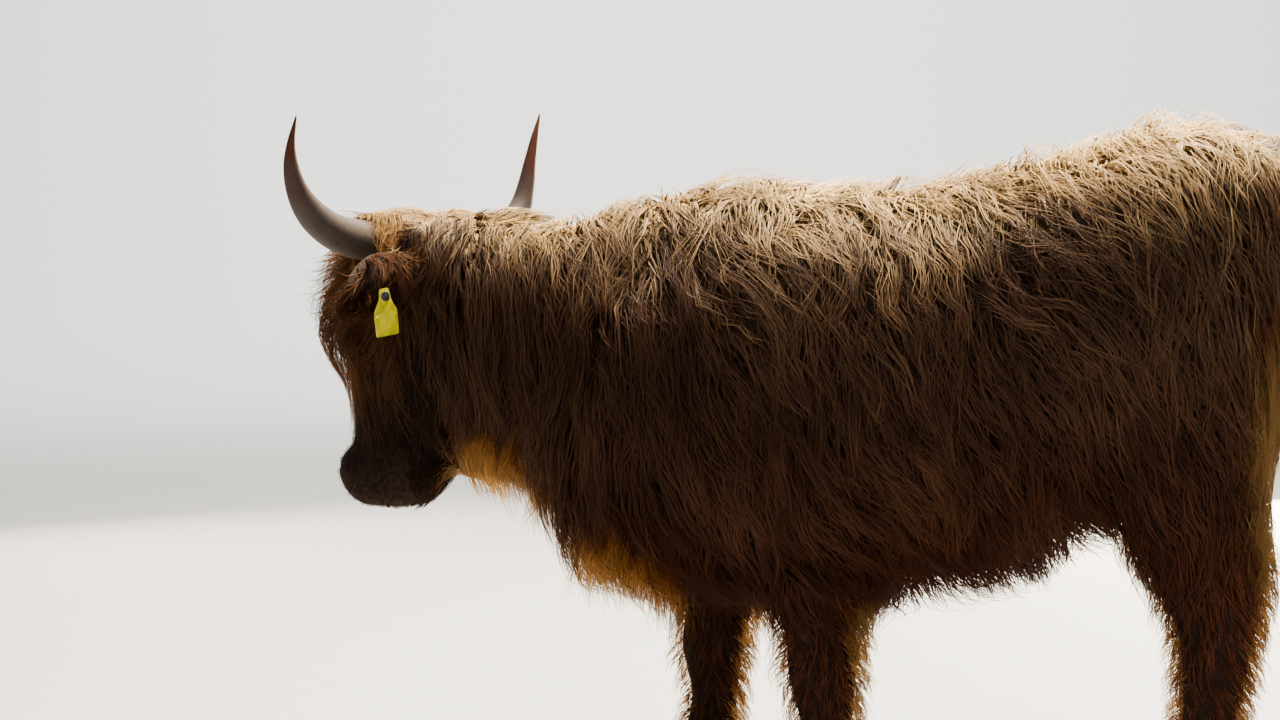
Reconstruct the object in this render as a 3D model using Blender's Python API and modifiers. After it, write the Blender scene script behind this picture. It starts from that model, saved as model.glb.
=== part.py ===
"""Highland cow, life size, standing with its head lowered and turned a little to its right.

The animal faces -X and its left flank faces -Y.  Every flesh solid is the outline of the
coat, out to the tips of the hair; horns, eyes, claws and the ear tag are their own solids.
Units are metres, +Z is up and the claws stand on Z = 0.
"""

import math

import bmesh
import bpy
from mathutils import Matrix, Vector

# ---------------------------------------------------------------- driving dimensions
GAP = 0.0003                 # clearance kept between two solids that meet
VOXEL = 0.010                # grain of the remesh that melts the body's lofts together
BODY_TRIANGLES = 2960        # the whole body, before it is parted
FLAT_ENOUGH = math.radians(0.6)  # a cut's flat faces are merged below this angle
HEAD_YAW = math.radians(16)  # how far the head is turned to the animal's right
HEAD_PITCH = math.radians(87)
HORN_LINE = Vector((-0.841, 0.075, 0.980))  # middle of the skull between the horns
CORONET_Z = 0.056            # top of the claws
HORN_BASE_RADIUS = 0.0335
EYE_RADIUS = 0.0195
STUD_RADIUS = 0.0080
FLAG_THICKNESS = 0.0022

COAT_RED = (0.30, 0.105, 0.035)
COAT_GOLD = (0.52, 0.27, 0.10)
HORN_GREY = (0.50, 0.44, 0.37)
CLAW_BROWN = (0.09, 0.06, 0.045)
EYE_BROWN = (0.02, 0.011, 0.007)
TAG_YELLOW = (0.80, 0.68, 0.05)
TAG_GREY = (0.10, 0.11, 0.11)

for leftover in list(bpy.data.objects):
    bpy.data.objects.remove(leftover)
cow = bpy.data.collections.new("highland_cow")
cutters = bpy.data.collections.new("cutters")
cutters.hide_render = True
bpy.context.scene.collection.children.link(cow)
bpy.context.scene.collection.children.link(cutters)
origin = bpy.data.objects.new("cow_origin", None)
cow.objects.link(origin)


# ---------------------------------------------------------------- small helpers
def material(name, colour, roughness, metallic=0.0):
    made = bpy.data.materials.new(name)
    made.use_nodes = True
    shader = made.node_tree.nodes["Principled BSDF"]
    shader.inputs["Base Color"].default_value = (*colour, 1.0)
    shader.inputs["Roughness"].default_value = roughness
    shader.inputs["Metallic"].default_value = metallic
    return made


red_coat = material("red_coat", COAT_RED, 0.75)
gold_coat = material("gold_coat", COAT_GOLD, 0.75)
horn_finish = material("horn", HORN_GREY, 0.4)
claw_finish = material("claw", CLAW_BROWN, 0.5)
eye_finish = material("eye", EYE_BROWN, 0.08)
flag_finish = material("tag_flag", TAG_YELLOW, 0.45)
stud_finish = material("tag_stud", TAG_GREY, 0.5)


def heading(yaw, pitch):
    """(along, left, up) of a loft that points ahead, turned right by yaw and down by pitch."""
    along = Vector((-math.cos(pitch) * math.cos(yaw), math.cos(pitch) * math.sin(yaw), -math.sin(pitch)))
    left = Vector((-math.sin(yaw), -math.cos(yaw), 0.0))
    return along, left, along.cross(left)


def as_object(name, mesh, helper=False):
    made = bpy.data.objects.new(name, mesh)
    (cutters if helper else cow).objects.link(made)
    if helper:
        made.hide_render = True
        made.display_type = "WIRE"
    return made


def from_bmesh(name, bm, helper=False):
    bmesh.ops.recalc_face_normals(bm, faces=bm.faces)
    mesh = bpy.data.meshes.new(name)
    bm.to_mesh(mesh)
    bm.free()
    return as_object(name, mesh, helper)


def spline(rows, t):
    """Catmull-Rom value of a table of rows at t, from 0 to len(rows) - 1."""
    i = min(int(t), len(rows) - 2)
    f = t - i
    a, b, c, d = (rows[max(0, min(len(rows) - 1, k))] for k in (i - 1, i, i + 1, i + 2))
    return [
        0.5 * (2 * q + (r - p) * f + (2 * p - 5 * q + 4 * r - s) * f * f + (3 * q - p - 3 * r + s) * f ** 3)
        for p, q, r, s in zip(a, b, c, d)
    ]


def loft(name, stations, sides=28, steps=5, helper=True, grow=0.0):
    """A closed tube through stations.

    Each station is (x, y, z, half width, reach up, reach down, squareness, yaw, pitch), with
    the angles in degrees.  On a leg, which points down, up means ahead and down means behind.
    """
    bm = bmesh.new()
    rings = []
    count = (len(stations) - 1) * steps
    for k in range(count + 1):
        x, y, z, wide, up, down, power, yaw, pitch = spline(stations, k / steps)
        along, left, above = heading(math.radians(yaw), math.radians(pitch))
        lengthen = grow * ((k == count) - (k == 0))
        ring = []
        for n in range(sides):
            angle = 2 * math.pi * n / sides
            c, s = math.cos(angle), math.sin(angle)
            reach = up if s > 0 else down
            across = math.copysign(abs(c) ** (2 / power), c) * (wide + grow)
            high = math.copysign(abs(s) ** (2 / power), s) * (reach + grow)
            ring.append(bm.verts.new(Vector((x, y, z)) + left * across + above * high + along * lengthen))
        rings.append(ring)
    for one, two in zip(rings, rings[1:]):
        for n in range(sides):
            m = (n + 1) % sides
            bm.faces.new((one[n], one[m], two[m]))
            bm.faces.new((one[n], two[m], two[n]))
    bm.faces.new(rings[0])
    bm.faces.new(rings[-1])
    return from_bmesh(name, bm, helper)


def ball(name, centre, radii, turn=None, helper=True, segments=24, rings=14):
    bm = bmesh.new()
    bmesh.ops.create_uvsphere(bm, u_segments=segments, v_segments=rings, radius=1.0)
    place = Matrix.Translation(centre) @ (turn or Matrix.Identity(4)) @ Matrix.Diagonal((*radii, 1.0))
    bm.transform(place)
    return from_bmesh(name, bm, helper)


def block(name, centre, size, turn=None):
    bm = bmesh.new()
    bmesh.ops.create_cube(bm, size=1.0)
    bm.transform(Matrix.Translation(centre) @ (turn or Matrix.Identity(4)) @ Matrix.Diagonal((*size, 1.0)))
    return from_bmesh(name, bm, helper=True)


def modify(obj, kind, **settings):
    made = obj.modifiers.new(kind.lower(), kind)
    for key, value in settings.items():
        setattr(made, key, value)
    return made


def boolean(obj, operation, other):
    modify(obj, "BOOLEAN", operation=operation, object=other, solver="EXACT")


def frozen(obj, name, helper=True):
    """A plain mesh of what obj evaluates to."""
    bpy.context.view_layer.update()
    graph = bpy.context.evaluated_depsgraph_get()
    mesh = bpy.data.meshes.new_from_object(obj.evaluated_get(graph))
    mesh.transform(obj.matrix_world)
    return as_object(name, mesh, helper)


def grown(obj, name, by=GAP):
    """A cutter a gap larger all round than obj."""
    copy = frozen(obj, name)
    modify(copy, "DISPLACE", strength=by, mid_level=0.0, direction="NORMAL")
    return copy


def joined(name, objects):
    """One mesh that holds all of these, which the remesh then melts together."""
    bm = bmesh.new()
    for obj in objects:
        bm.from_mesh(obj.data)
        bpy.data.objects.remove(obj)
    return from_bmesh(name, bm, helper=True)


# ---------------------------------------------------------------- head frame
AHEAD, LEFT, _ = heading(HEAD_YAW, 0.0)
UP = Vector((0, 0, 1))


def on_head(ahead, left, drop):
    """A point so far ahead of, left of and below the middle of the horn line."""
    return HORN_LINE + AHEAD * ahead + LEFT * left - UP * drop


def head_station(drop, front, back, wide, power=2.3):
    """A level slice through the head, which hangs straight down."""
    middle = on_head((front + back) / 2, 0.0, drop)
    reach = (front - back) / 2
    return (*middle, wide, reach, reach, power, math.degrees(HEAD_YAW), 90)


# ---------------------------------------------------------------- trunk and neck
TRUNK = [  # x, z of top, z of bottom, half width, squareness
    (0.655, 1.035, 0.760, 0.090, 2.0),
    (0.615, 1.100, 0.640, 0.175, 2.2),
    (0.530, 1.140, 0.560, 0.240, 2.4),
    (0.440, 1.154, 0.535, 0.268, 2.4),
    (0.330, 1.124, 0.490, 0.288, 2.3),
    (0.200, 1.092, 0.418, 0.308, 2.2),
    (0.050, 1.066, 0.388, 0.317, 2.2),
    (-0.100, 1.066, 0.378, 0.304, 2.2),
    (-0.250, 1.082, 0.374, 0.278, 2.1),
    (-0.400, 1.058, 0.384, 0.250, 2.1),
    (-0.500, 1.030, 0.415, 0.212, 2.1),
    (-0.565, 0.955, 0.495, 0.160, 2.0),
]
WIDEST_SHARE = 0.46          # height of the widest part of the trunk, as a share of its depth


def trunk_station(x, top, bottom, wide, power):
    level = bottom + WIDEST_SHARE * (top - bottom)
    return (x, 0.0, level, wide, top - level, level - bottom, power, 0, 0)


NECK = [  # x, y, z, half width, up, down, squareness, yaw, pitch
    (-0.330, 0.000, 0.760, 0.240, 0.300, 0.350, 2.1, 0, 0),
    (-0.450, 0.006, 0.775, 0.222, 0.268, 0.355, 2.1, 3, 0),
    (-0.540, 0.020, 0.790, 0.200, 0.232, 0.302, 2.1, 8, 2),
    (-0.630, 0.038, 0.805, 0.182, 0.218, 0.248, 2.1, 12, 4),
    (-0.720, 0.058, 0.815, 0.160, 0.210, 0.248, 2.1, 15, 4),
    (-0.800, 0.076, 0.835, 0.126, 0.180, 0.225, 2.1, 16, 4),
    (-0.850, 0.090, 0.845, 0.096, 0.140, 0.150, 2.1, 16, 4),
]

# ---------------------------------------------------------------- legs
FORE_PROFILE = [  # z, half width, ahead, behind
    (0.800, 0.085, 0.105, 0.110),
    (0.660, 0.100, 0.120, 0.130),
    (0.540, 0.096, 0.110, 0.120),
    (0.440, 0.084, 0.086, 0.100),
    (0.360, 0.075, 0.076, 0.086),
    (0.290, 0.070, 0.078, 0.080),
    (0.220, 0.058, 0.061, 0.072),
    (0.150, 0.055, 0.056, 0.070),
    (0.105, 0.063, 0.062, 0.072),
    (0.040, 0.062, 0.062, 0.066),
]
HIND_PROFILE = [
    (0.900, 0.050, 0.080, 0.080),
    (0.800, 0.092, 0.140, 0.135),
    (0.700, 0.104, 0.150, 0.142),
    (0.600, 0.097, 0.125, 0.128),
    (0.520, 0.080, 0.124, 0.106),
    (0.440, 0.069, 0.118, 0.086),
    (0.370, 0.063, 0.082, 0.080),
    (0.280, 0.056, 0.070, 0.071),
    (0.180, 0.054, 0.060, 0.070),
    (0.105, 0.063, 0.063, 0.072),
    (0.040, 0.062, 0.062, 0.066),
]
# Each leg's line: x at every height of its profile, then y at the top and at the claws.
LEG_LINES = {
    "foreleg_left": (
        FORE_PROFILE,
        (-0.270, -0.215, -0.150, -0.105, -0.088, -0.085, -0.084, -0.085, -0.090, -0.108),
        (-0.175, -0.135),
    ),
    "foreleg_right": (
        FORE_PROFILE,
        (-0.310, -0.296, -0.294, -0.318, -0.342, -0.353, -0.357, -0.364, -0.373, -0.392),
        (0.175, 0.135),
    ),
    "hindleg_left": (
        HIND_PROFILE,
        (0.500, 0.485, 0.476, 0.482, 0.506, 0.534, 0.530, 0.521, 0.511, 0.501, 0.482),
        (-0.170, -0.150),
    ),
    "hindleg_right": (
        HIND_PROFILE,
        (0.490, 0.474, 0.456, 0.446, 0.458, 0.480, 0.474, 0.464, 0.453, 0.443, 0.424),
        (0.170, 0.150),
    ),
}


def leg_stations(profile, line, sides, grow=0.0):
    rows = []
    top, foot = profile[0][0], profile[-1][0]
    for (z, wide, ahead, behind), x in zip(profile, line):
        share = (top - z) / (top - foot)
        y = sides[0] + (sides[1] - sides[0]) * min(1.0, share * 1.6)
        rows.append((x, y, z, wide + grow, ahead + grow, behind + grow, 2.2, 0, 90))
    return rows


# ---------------------------------------------------------------- tail
TAIL = [  # x, y, z, half width, up, down, squareness, yaw, pitch
    (0.560, 0.000, 1.040, 0.050, 0.050, 0.050, 2, 180, 0),
    (0.625, 0.000, 1.052, 0.052, 0.050, 0.052, 2, 180, 20),
    (0.682, 0.000, 1.012, 0.048, 0.046, 0.046, 2, 180, 60),
    (0.708, -0.002, 0.920, 0.044, 0.042, 0.042, 2, 180, 84),
    (0.719, -0.006, 0.800, 0.042, 0.040, 0.038, 2, 180, 90),
    (0.726, -0.012, 0.680, 0.044, 0.042, 0.040, 2, 180, 90),
    (0.734, -0.016, 0.560, 0.056, 0.050, 0.048, 2, 180, 90),
    (0.740, -0.018, 0.440, 0.066, 0.058, 0.056, 2, 180, 90),
    (0.740, -0.018, 0.330, 0.060, 0.052, 0.050, 2, 180, 90),
    (0.740, -0.018, 0.240, 0.026, 0.024, 0.024, 2, 180, 90),
]
TAIL_ROOT_X = 0.670          # the upright cut between rump and tail
SWITCH_TOP = 0.600           # where the long hair of the tail's end begins

# ---------------------------------------------------------------- head, coat outline
HEAD = [  # drop below the horn line, front, back, half width
    (-0.034, 0.040, -0.060, 0.058),
    (-0.020, 0.070, -0.105, 0.092),
    (0.020, 0.098, -0.130, 0.108),
    (0.085, 0.114, -0.138, 0.108),
    (0.150, 0.124, -0.135, 0.102),
    (0.210, 0.132, -0.128, 0.096),
    (0.270, 0.136, -0.120, 0.086),
    (0.325, 0.138, -0.098, 0.075),
    (0.372, 0.144, -0.066, 0.070),
    (0.412, 0.150, -0.036, 0.074),
    (0.442, 0.145, -0.006, 0.068),
    (0.460, 0.118, 0.020, 0.046),
]
FORELOCK = [  # the hair that falls from the poll over the brow
    (-0.046, 0.046, -0.060, 0.048),
    (-0.030, 0.100, -0.060, 0.078),
    (0.000, 0.156, 0.000, 0.092),
    (0.035, 0.188, 0.040, 0.096),
    (0.090, 0.202, 0.060, 0.092),
    (0.145, 0.196, 0.070, 0.080),
    (0.195, 0.180, 0.080, 0.064),
    (0.240, 0.160, 0.085, 0.044),
]
BROW = (0.060, 0.078, 0.132)     # ahead, left, drop of the ridge over the eye
CHEEK = (-0.035, 0.056, 0.225)
NOSTRIL = (0.141, 0.040, 0.412)
EYE = (0.064, 0.0935, 0.166)

pieces = [loft("trunk_mass", [trunk_station(*row) for row in TRUNK])]
pieces.append(loft("neck_mass", NECK))
pieces.append(loft("head_mass", [head_station(*row) for row in HEAD]))
pieces.append(loft("forelock_mass", [head_station(*row) for row in FORELOCK], sides=20, steps=3))
for side in (1, -1):
    turn = Matrix.Rotation(-HEAD_YAW, 4, "Z")
    pieces.append(ball("brow", on_head(BROW[0], side * BROW[1], BROW[2]), (0.042, 0.032, 0.026), turn))
    pieces.append(ball("cheek", on_head(CHEEK[0], side * CHEEK[1], CHEEK[2]), (0.080, 0.042, 0.090), turn))
    pieces.append(ball("nostril_wing", on_head(0.117, side * 0.043, 0.410), (0.034, 0.033, 0.034), turn))
    # the hook bones and the points of the shoulder stand out under the coat
    pieces.append(ball("hook", (0.410, side * 0.140, 1.015), (0.110, 0.092, 0.080)))
    pieces.append(ball("buttock", (0.560, side * 0.092, 0.900), (0.086, 0.088, 0.160)))
    pieces.append(ball("shoulder", (-0.360, side * 0.165, 0.740), (0.130, 0.115, 0.210)))
pieces.append(ball("withers", (-0.230, 0.0, 0.985), (0.180, 0.110, 0.095)))
pieces.append(ball("brisket", (-0.480, 0.0, 0.500), (0.100, 0.115, 0.105)))
for name, line in LEG_LINES.items():
    pieces.append(loft(name + "_mass", leg_stations(*line)))
pieces.append(loft("tail_mass", TAIL, sides=16))

whole = joined("whole", pieces)
modify(whole, "REMESH", mode="VOXEL", voxel_size=VOXEL, adaptivity=0.0)
modify(whole, "SMOOTH", factor=0.5, iterations=12)
body = frozen(whole, "body")
bpy.data.objects.remove(whole)

ratio = BODY_TRIANGLES / (2 * len(body.data.polygons))
modify(body, "DECIMATE", ratio=ratio)
outline = frozen(body, "outline")
bpy.data.objects.remove(body)


# ---------------------------------------------------------------- horns
HORN = [  # left, rise, ahead, share of the base radius
    (0.040, 0.004, -0.006, 1.00),
    (0.105, -0.002, 0.000, 1.00),
    (0.163, 0.002, 0.002, 0.94),
    (0.219, 0.020, 0.003, 0.84),
    (0.266, 0.049, 0.001, 0.70),
    (0.297, 0.084, -0.002, 0.54),
    (0.314, 0.122, -0.006, 0.37),
    (0.319, 0.160, -0.012, 0.20),
    (0.316, 0.203, -0.022, 0.035),
]
FAR_HORN = [  # the other horn turns up further out and rises straighter and slimmer
    (0.040, 0.004, -0.006, 1.00),
    (0.105, -0.004, 0.000, 1.00),
    (0.165, -0.006, 0.002, 0.93),
    (0.222, 0.000, 0.003, 0.82),
    (0.264, 0.018, 0.001, 0.69),
    (0.285, 0.044, -0.001, 0.58),
    (0.297, 0.080, -0.004, 0.45),
    (0.305, 0.118, -0.007, 0.32),
    (0.315, 0.158, -0.010, 0.20),
    (0.3276, 0.203, -0.0145, 0.035),
]
HORN_STEPS = 2


def horn(name, side, grow=0.0, helper=False):
    curve = bpy.data.curves.new(name, "CURVE")
    curve.dimensions = "3D"
    curve.bevel_depth = 1.0
    curve.bevel_resolution = 2
    curve.use_fill_caps = True
    rows = HORN if side > 0 else FAR_HORN
    count = (len(rows) - 1) * HORN_STEPS
    line = curve.splines.new("POLY")
    line.points.add(count)
    for k in range(count + 1):
        left, rise, ahead, share = spline(rows, k / HORN_STEPS)
        point = line.points[k]
        point.co = (*on_head(ahead, side * left, -rise), 1.0)
        point.radius = HORN_BASE_RADIUS * max(share, 0.03) + grow
    bent = as_object(name + "_curve", curve, helper=True)
    made = frozen(bent, name, helper)
    bpy.data.objects.remove(bent)
    bm = bmesh.new()
    bm.from_mesh(made.data)
    bmesh.ops.remove_doubles(bm, verts=bm.verts, dist=1e-5)
    bmesh.ops.recalc_face_normals(bm, faces=bm.faces)
    bm.to_mesh(made.data)
    bm.free()
    return made


# ---------------------------------------------------------------- ears
EAR = [  # left, drop, ahead, half height, half thickness
    (0.060, 0.058, -0.050, 0.030, 0.022),
    (0.100, 0.058, -0.055, 0.042, 0.024),
    (0.140, 0.062, -0.060, 0.053, 0.023),
    (0.180, 0.070, -0.065, 0.056, 0.021),
    (0.220, 0.081, -0.070, 0.048, 0.018),
    (0.255, 0.092, -0.075, 0.031, 0.013),
    (0.275, 0.099, -0.078, 0.012, 0.006),
]


def ear(name, side, grow=0.0, helper=False):
    """A drooping leaf, thick with hair, that points out to the side."""
    yaw = math.degrees(HEAD_YAW) - side * 90
    rows = []
    for left, drop, ahead, high, thick in EAR:
        rows.append((*on_head(ahead, side * left, drop), thick, high, high, 2.2, yaw, 0))
    return loft(name, rows, sides=12, steps=2, helper=helper, grow=grow)


# ---------------------------------------------------------------- ear tag
FLAG_OUTLINE = [  # across, below the stud: a bell-shouldered flag
    (-0.0095, -0.0130),
    (0.0095, -0.0130),
    (0.0125, 0.0060),
    (0.0240, 0.0240),
    (0.0235, 0.0645),
    (-0.0235, 0.0645),
    (-0.0240, 0.0240),
    (-0.0125, 0.0060),
]
TAG_PLACE = (-0.090, 0.194, 0.091)  # ahead, left and drop of the stud, behind the ear
TAG_LEAN = math.radians(5)
TAG_TURN = math.radians(-12)


def tag_matrix():
    """Local X runs across the flag, local Y up it and local Z out of its back."""
    base = Matrix((-LEFT, UP, -AHEAD)).transposed().to_4x4()
    place = Matrix.Translation(on_head(*TAG_PLACE))
    return place @ Matrix.Rotation(TAG_TURN, 4, "Z") @ base @ Matrix.Rotation(TAG_LEAN, 4, "Z")


def tag_flag():
    curve = bpy.data.curves.new("tag_flag", "CURVE")
    curve.dimensions = "2D"
    curve.fill_mode = "BOTH"
    curve.extrude = FLAG_THICKNESS / 2
    line = curve.splines.new("POLY")
    line.points.add(len(FLAG_OUTLINE) - 1)
    for point, (across, below) in zip(line.points, FLAG_OUTLINE):
        point.co = (across, -below, 0.0, 1.0)
    line.use_cyclic_u = True
    flat = as_object("tag_flag_outline", curve, helper=True)
    made = frozen(flat, "ear_tag_flag", helper=False)
    bpy.data.objects.remove(flat)
    bm = bmesh.new()
    bm.from_mesh(made.data)
    bmesh.ops.remove_doubles(bm, verts=bm.verts, dist=1e-5)
    bmesh.ops.recalc_face_normals(bm, faces=bm.faces)
    bm.transform(tag_matrix())
    bm.to_mesh(made.data)
    bm.free()
    modify(made, "BEVEL", width=0.0006, segments=1, limit_method="ANGLE")
    return made


def tag_stud(name, grow=0.0, helper=False):
    """The button behind the flag, its shank through flag and ear, and the cap before the ear."""
    near, far = 0.0045, -0.058
    profile = [
        (0.0, near + grow),
        (STUD_RADIUS * 0.75 + grow, near + grow),
        (STUD_RADIUS + grow, near - 0.0015),
        (STUD_RADIUS + grow, 0.0020 - grow),
        (0.0030 + grow, 0.0020 - grow),
        (0.0030 + grow, far + 0.0030 + grow),
        (0.0090 + grow, far + 0.0030 + grow),
        (0.0090 + grow, far - grow),
        (0.0, far - grow),
    ]
    mesh = bpy.data.meshes.new(name)
    mesh.from_pydata([(r, 0.0, h) for r, h in profile], [(k, k + 1) for k in range(len(profile) - 1)], [])
    turned = as_object(name + "_turned", mesh, helper=True)
    modify(turned, "SCREW", steps=12, render_steps=12, use_merge_vertices=True, merge_threshold=0.00005)
    made = frozen(turned, name, helper)
    bpy.data.objects.remove(turned)
    bm = bmesh.new()
    bm.from_mesh(made.data)
    bmesh.ops.recalc_face_normals(bm, faces=bm.faces)
    bm.transform(tag_matrix())
    bm.to_mesh(made.data)
    bm.free()
    return made


# ---------------------------------------------------------------- claws and dewclaws
CLAW = [  # height, toe ahead, heel behind, half width
    (0.000, 0.062, 0.058, 0.0270),
    (0.020, 0.054, 0.060, 0.0275),
    (0.040, 0.044, 0.058, 0.0265),
    (CORONET_Z - GAP, 0.034, 0.054, 0.0250),
]
CLAW_SPACING = 0.0285        # from the leg's middle to each claw's middle
DEWCLAW_Z = 0.098


def claw(name, x, y, splay):
    """One claw of a cloven hoof: a flat sole, a sloping toe and an upright heel."""
    turn = Matrix.Translation((x, y, 0)) @ Matrix.Rotation(splay, 4, "Z")
    bm = bmesh.new()
    rings = []
    for height, toe, heel, wide in CLAW:
        ring = []
        for n in range(12):
            angle = 2 * math.pi * n / 12
            c, s = math.cos(angle), math.sin(angle)
            reach = toe if c > 0 else heel
            point = Vector((-c * abs(c) ** 0.1 * reach, s * abs(s) ** -0.25 * wide if s else 0.0, height))
            ring.append(bm.verts.new(turn @ point))
        rings.append(ring)
    for one, two in zip(rings, rings[1:]):
        for n in range(12):
            m = (n + 1) % 12
            bm.faces.new((one[n], one[m], two[m], two[n]))
    bm.faces.new(rings[0])
    bm.faces.new(rings[-1])
    return from_bmesh(name, bm, helper=False)


def dewclaw(name, x, y, grow=0.0, helper=False):
    turn = Matrix.Rotation(math.radians(-25), 4, "Y")
    return ball(name, (x, y, DEWCLAW_Z), (0.013 + grow, 0.012 + grow, 0.020 + grow), turn, helper, 8, 6)


# ---------------------------------------------------------------- the loose parts
horns = [horn("horn_left", 1), horn("horn_right", -1)]
ears = [ear("ear_left", 1), ear("ear_right", -1)]
eyes = []
for name, side in (("eye_left", 1), ("eye_right", -1)):
    centre = on_head(EYE[0], side * EYE[1], EYE[2])
    eyes.append(ball(name, centre, (EYE_RADIUS,) * 3, helper=False, segments=14, rings=8))
flag = tag_flag()
stud = tag_stud("ear_tag_stud")
stud_cutter = tag_stud("stud_cutter", GAP, helper=True)
boolean(flag, "DIFFERENCE", stud_cutter)
boolean(ears[0], "DIFFERENCE", stud_cutter)
boolean(ears[0], "DIFFERENCE", grown(flag, "flag_cutter"))

claws = []
dewclaws = []
for leg, (profile, line, sides) in LEG_LINES.items():
    foot_x, foot_y = line[-1], sides[1]
    outward = math.copysign(1.0, foot_y)
    for which, way in (("outer", outward), ("inner", -outward)):
        place = foot_y + way * CLAW_SPACING
        claws.append(claw(f"claw_{which}_{leg}", foot_x - 0.006, place, -way * math.radians(4)))
        dewclaws.append((f"dewclaw_{which}_{leg}", line[-2] + 0.064, foot_y + way * 0.026))

# ---------------------------------------------------------------- parting the body
FACE_PLANE = -0.122          # the cut behind the head, as a distance ahead of the horn line
SHOULDER_CUT = ((-0.455, 0.0, 0.760), math.radians(-20))  # a point on it and its slant
BIG = 1.2
LEG_CROWN = ((0.085, 0.35), (0.060, 0.85))  # how a leg's cutter rounds over above the leg


def half_space(name, point, turn, gap=0.0):
    """A big block that holds everything ahead of a slanted plane."""
    ahead = turn @ Vector((-1, 0, 0))
    return block(name, Vector(point) + ahead * (BIG / 2 - gap), (BIG,) * 3, turn.to_4x4())


head_turn = Matrix.Rotation(-HEAD_YAW, 3, "Z")
shoulder_turn = Matrix.Rotation(SHOULDER_CUT[1], 3, "Y")
face_point = on_head(FACE_PLANE, 0.0, 0.1)
ahead_of_neck = half_space("ahead_of_neck", face_point, head_turn)
ahead_of_neck_grown = half_space("ahead_of_neck_grown", face_point, head_turn, GAP)
ahead_of_trunk = half_space("ahead_of_trunk", SHOULDER_CUT[0], shoulder_turn)
ahead_of_trunk_grown = half_space("ahead_of_trunk_grown", SHOULDER_CUT[0], shoulder_turn, GAP)
below_coronet = block("below_coronet", (0, 0, CORONET_Z - 0.5), (4, 4, 1.0))

LEG_ROOM = 0.030             # a leg's cutter reaches this far ahead of and behind the leg
INNER_FACE = 0.030           # and this near to the middle of the body


def leg_cutter(name, profile, line, side, grow=0.0):
    """A slab that holds one leg and the flesh outside it, rounded over above the shoulder or hip."""
    room = LEG_ROOM + grow
    top, _, ahead, behind = profile[0]
    front = [(line[0] - ahead * share - grow, top + rise + grow) for rise, share in LEG_CROWN]
    back = [(line[0] + behind * share + grow, top + rise + grow) for rise, share in LEG_CROWN]
    front += [(x - row[2] - room, row[0]) for row, x in zip(profile[:-1], line)]
    back += [(x + row[3] + room, row[0]) for row, x in zip(profile[:-1], line)]
    front.append((front[-1][0], -0.05))
    back.append((back[-1][0], -0.05))
    bm = bmesh.new()
    rings = []
    for y in (INNER_FACE - grow, 0.65):
        rings.append([bm.verts.new((x, side * y, z)) for x, z in front + back[::-1]])
    for n in range(len(rings[0])):
        bm.faces.new((rings[0][n - 1], rings[0][n], rings[1][n], rings[1][n - 1]))
    bm.faces.new(rings[0])
    bm.faces.new(rings[1])
    return from_bmesh(name, bm, helper=True)


leg_cutters = {}
for leg, (profile, line, sides) in LEG_LINES.items():
    side = math.copysign(1.0, sides[0])
    leg_cutters[leg] = (
        leg_cutter(leg + "_cutter", profile, line, side),
        leg_cutter(leg + "_cutter_grown", profile, line, side, GAP),
    )
behind_rump = block("behind_rump", (TAIL_ROOT_X + 0.5, 0, 0.6), (1.0, 0.6, 1.6))
behind_rump_grown = block("behind_rump_grown", (TAIL_ROOT_X - GAP + 0.5, 0, 0.6), (1.0, 0.6, 1.6))
above_switch = block("above_switch", (0.7, 0, SWITCH_TOP + GAP + 0.5), (0.6, 0.6, 1.0))
below_switch = block("below_switch", (0.7, 0, SWITCH_TOP - 0.5), (0.6, 0.6, 1.0))


def parted(name, keep=(), drop=()):
    """The share of the outline inside every keep and outside every drop, without loose slivers."""
    cut = as_object(name + "_cut", outline.data.copy(), helper=True)
    for cutter in keep:
        boolean(cut, "INTERSECT", cutter)
    for cutter in drop:
        boolean(cut, "DIFFERENCE", cutter)
    made = frozen(cut, name, helper=False)
    bpy.data.objects.remove(cut)
    bm = bmesh.new()
    bm.from_mesh(made.data)
    bmesh.ops.remove_doubles(bm, verts=bm.verts, dist=0.00005)
    bmesh.ops.dissolve_degenerate(bm, edges=bm.edges, dist=0.00005)
    groups = []
    left = set(bm.verts)
    while left:
        group = {left.pop()}
        edge = set(group)
        while edge:
            edge = {e.other_vert(v) for v in edge for e in v.link_edges} - group
            group |= edge
        left -= group
        groups.append(group)
    main = max(groups, key=len)
    bmesh.ops.delete(bm, geom=[v for v in bm.verts if v not in main], context="VERTS")
    bmesh.ops.dissolve_limit(bm, angle_limit=FLAT_ENOUGH, verts=bm.verts, edges=bm.edges)
    bmesh.ops.triangulate(bm, faces=bm.faces)
    bm.to_mesh(made.data)
    bm.free()
    return made


grown_legs = [pair[1] for pair in leg_cutters.values()]
socket_cutters = [horn(f"horn_socket_{k}", side, 2 * GAP, helper=True) for k, side in enumerate((1, -1))]
socket_cutters += [ear(f"ear_socket_{k}", side, GAP, helper=True) for k, side in enumerate((1, -1))]
for k, side in enumerate((1, -1)):
    centre = on_head(EYE[0], side * EYE[1], EYE[2])
    socket_cutters.append(ball(f"eye_socket_{k}", centre, (EYE_RADIUS + GAP,) * 3, segments=14, rings=8))
    nostril = on_head(NOSTRIL[0], side * NOSTRIL[1], NOSTRIL[2])
    turn = Matrix.Rotation(-HEAD_YAW + side * math.radians(35), 4, "Z")
    socket_cutters.append(ball(f"nostril_cutter_{k}", nostril, (0.012, 0.007, 0.013), turn, segments=10, rings=6))

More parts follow.
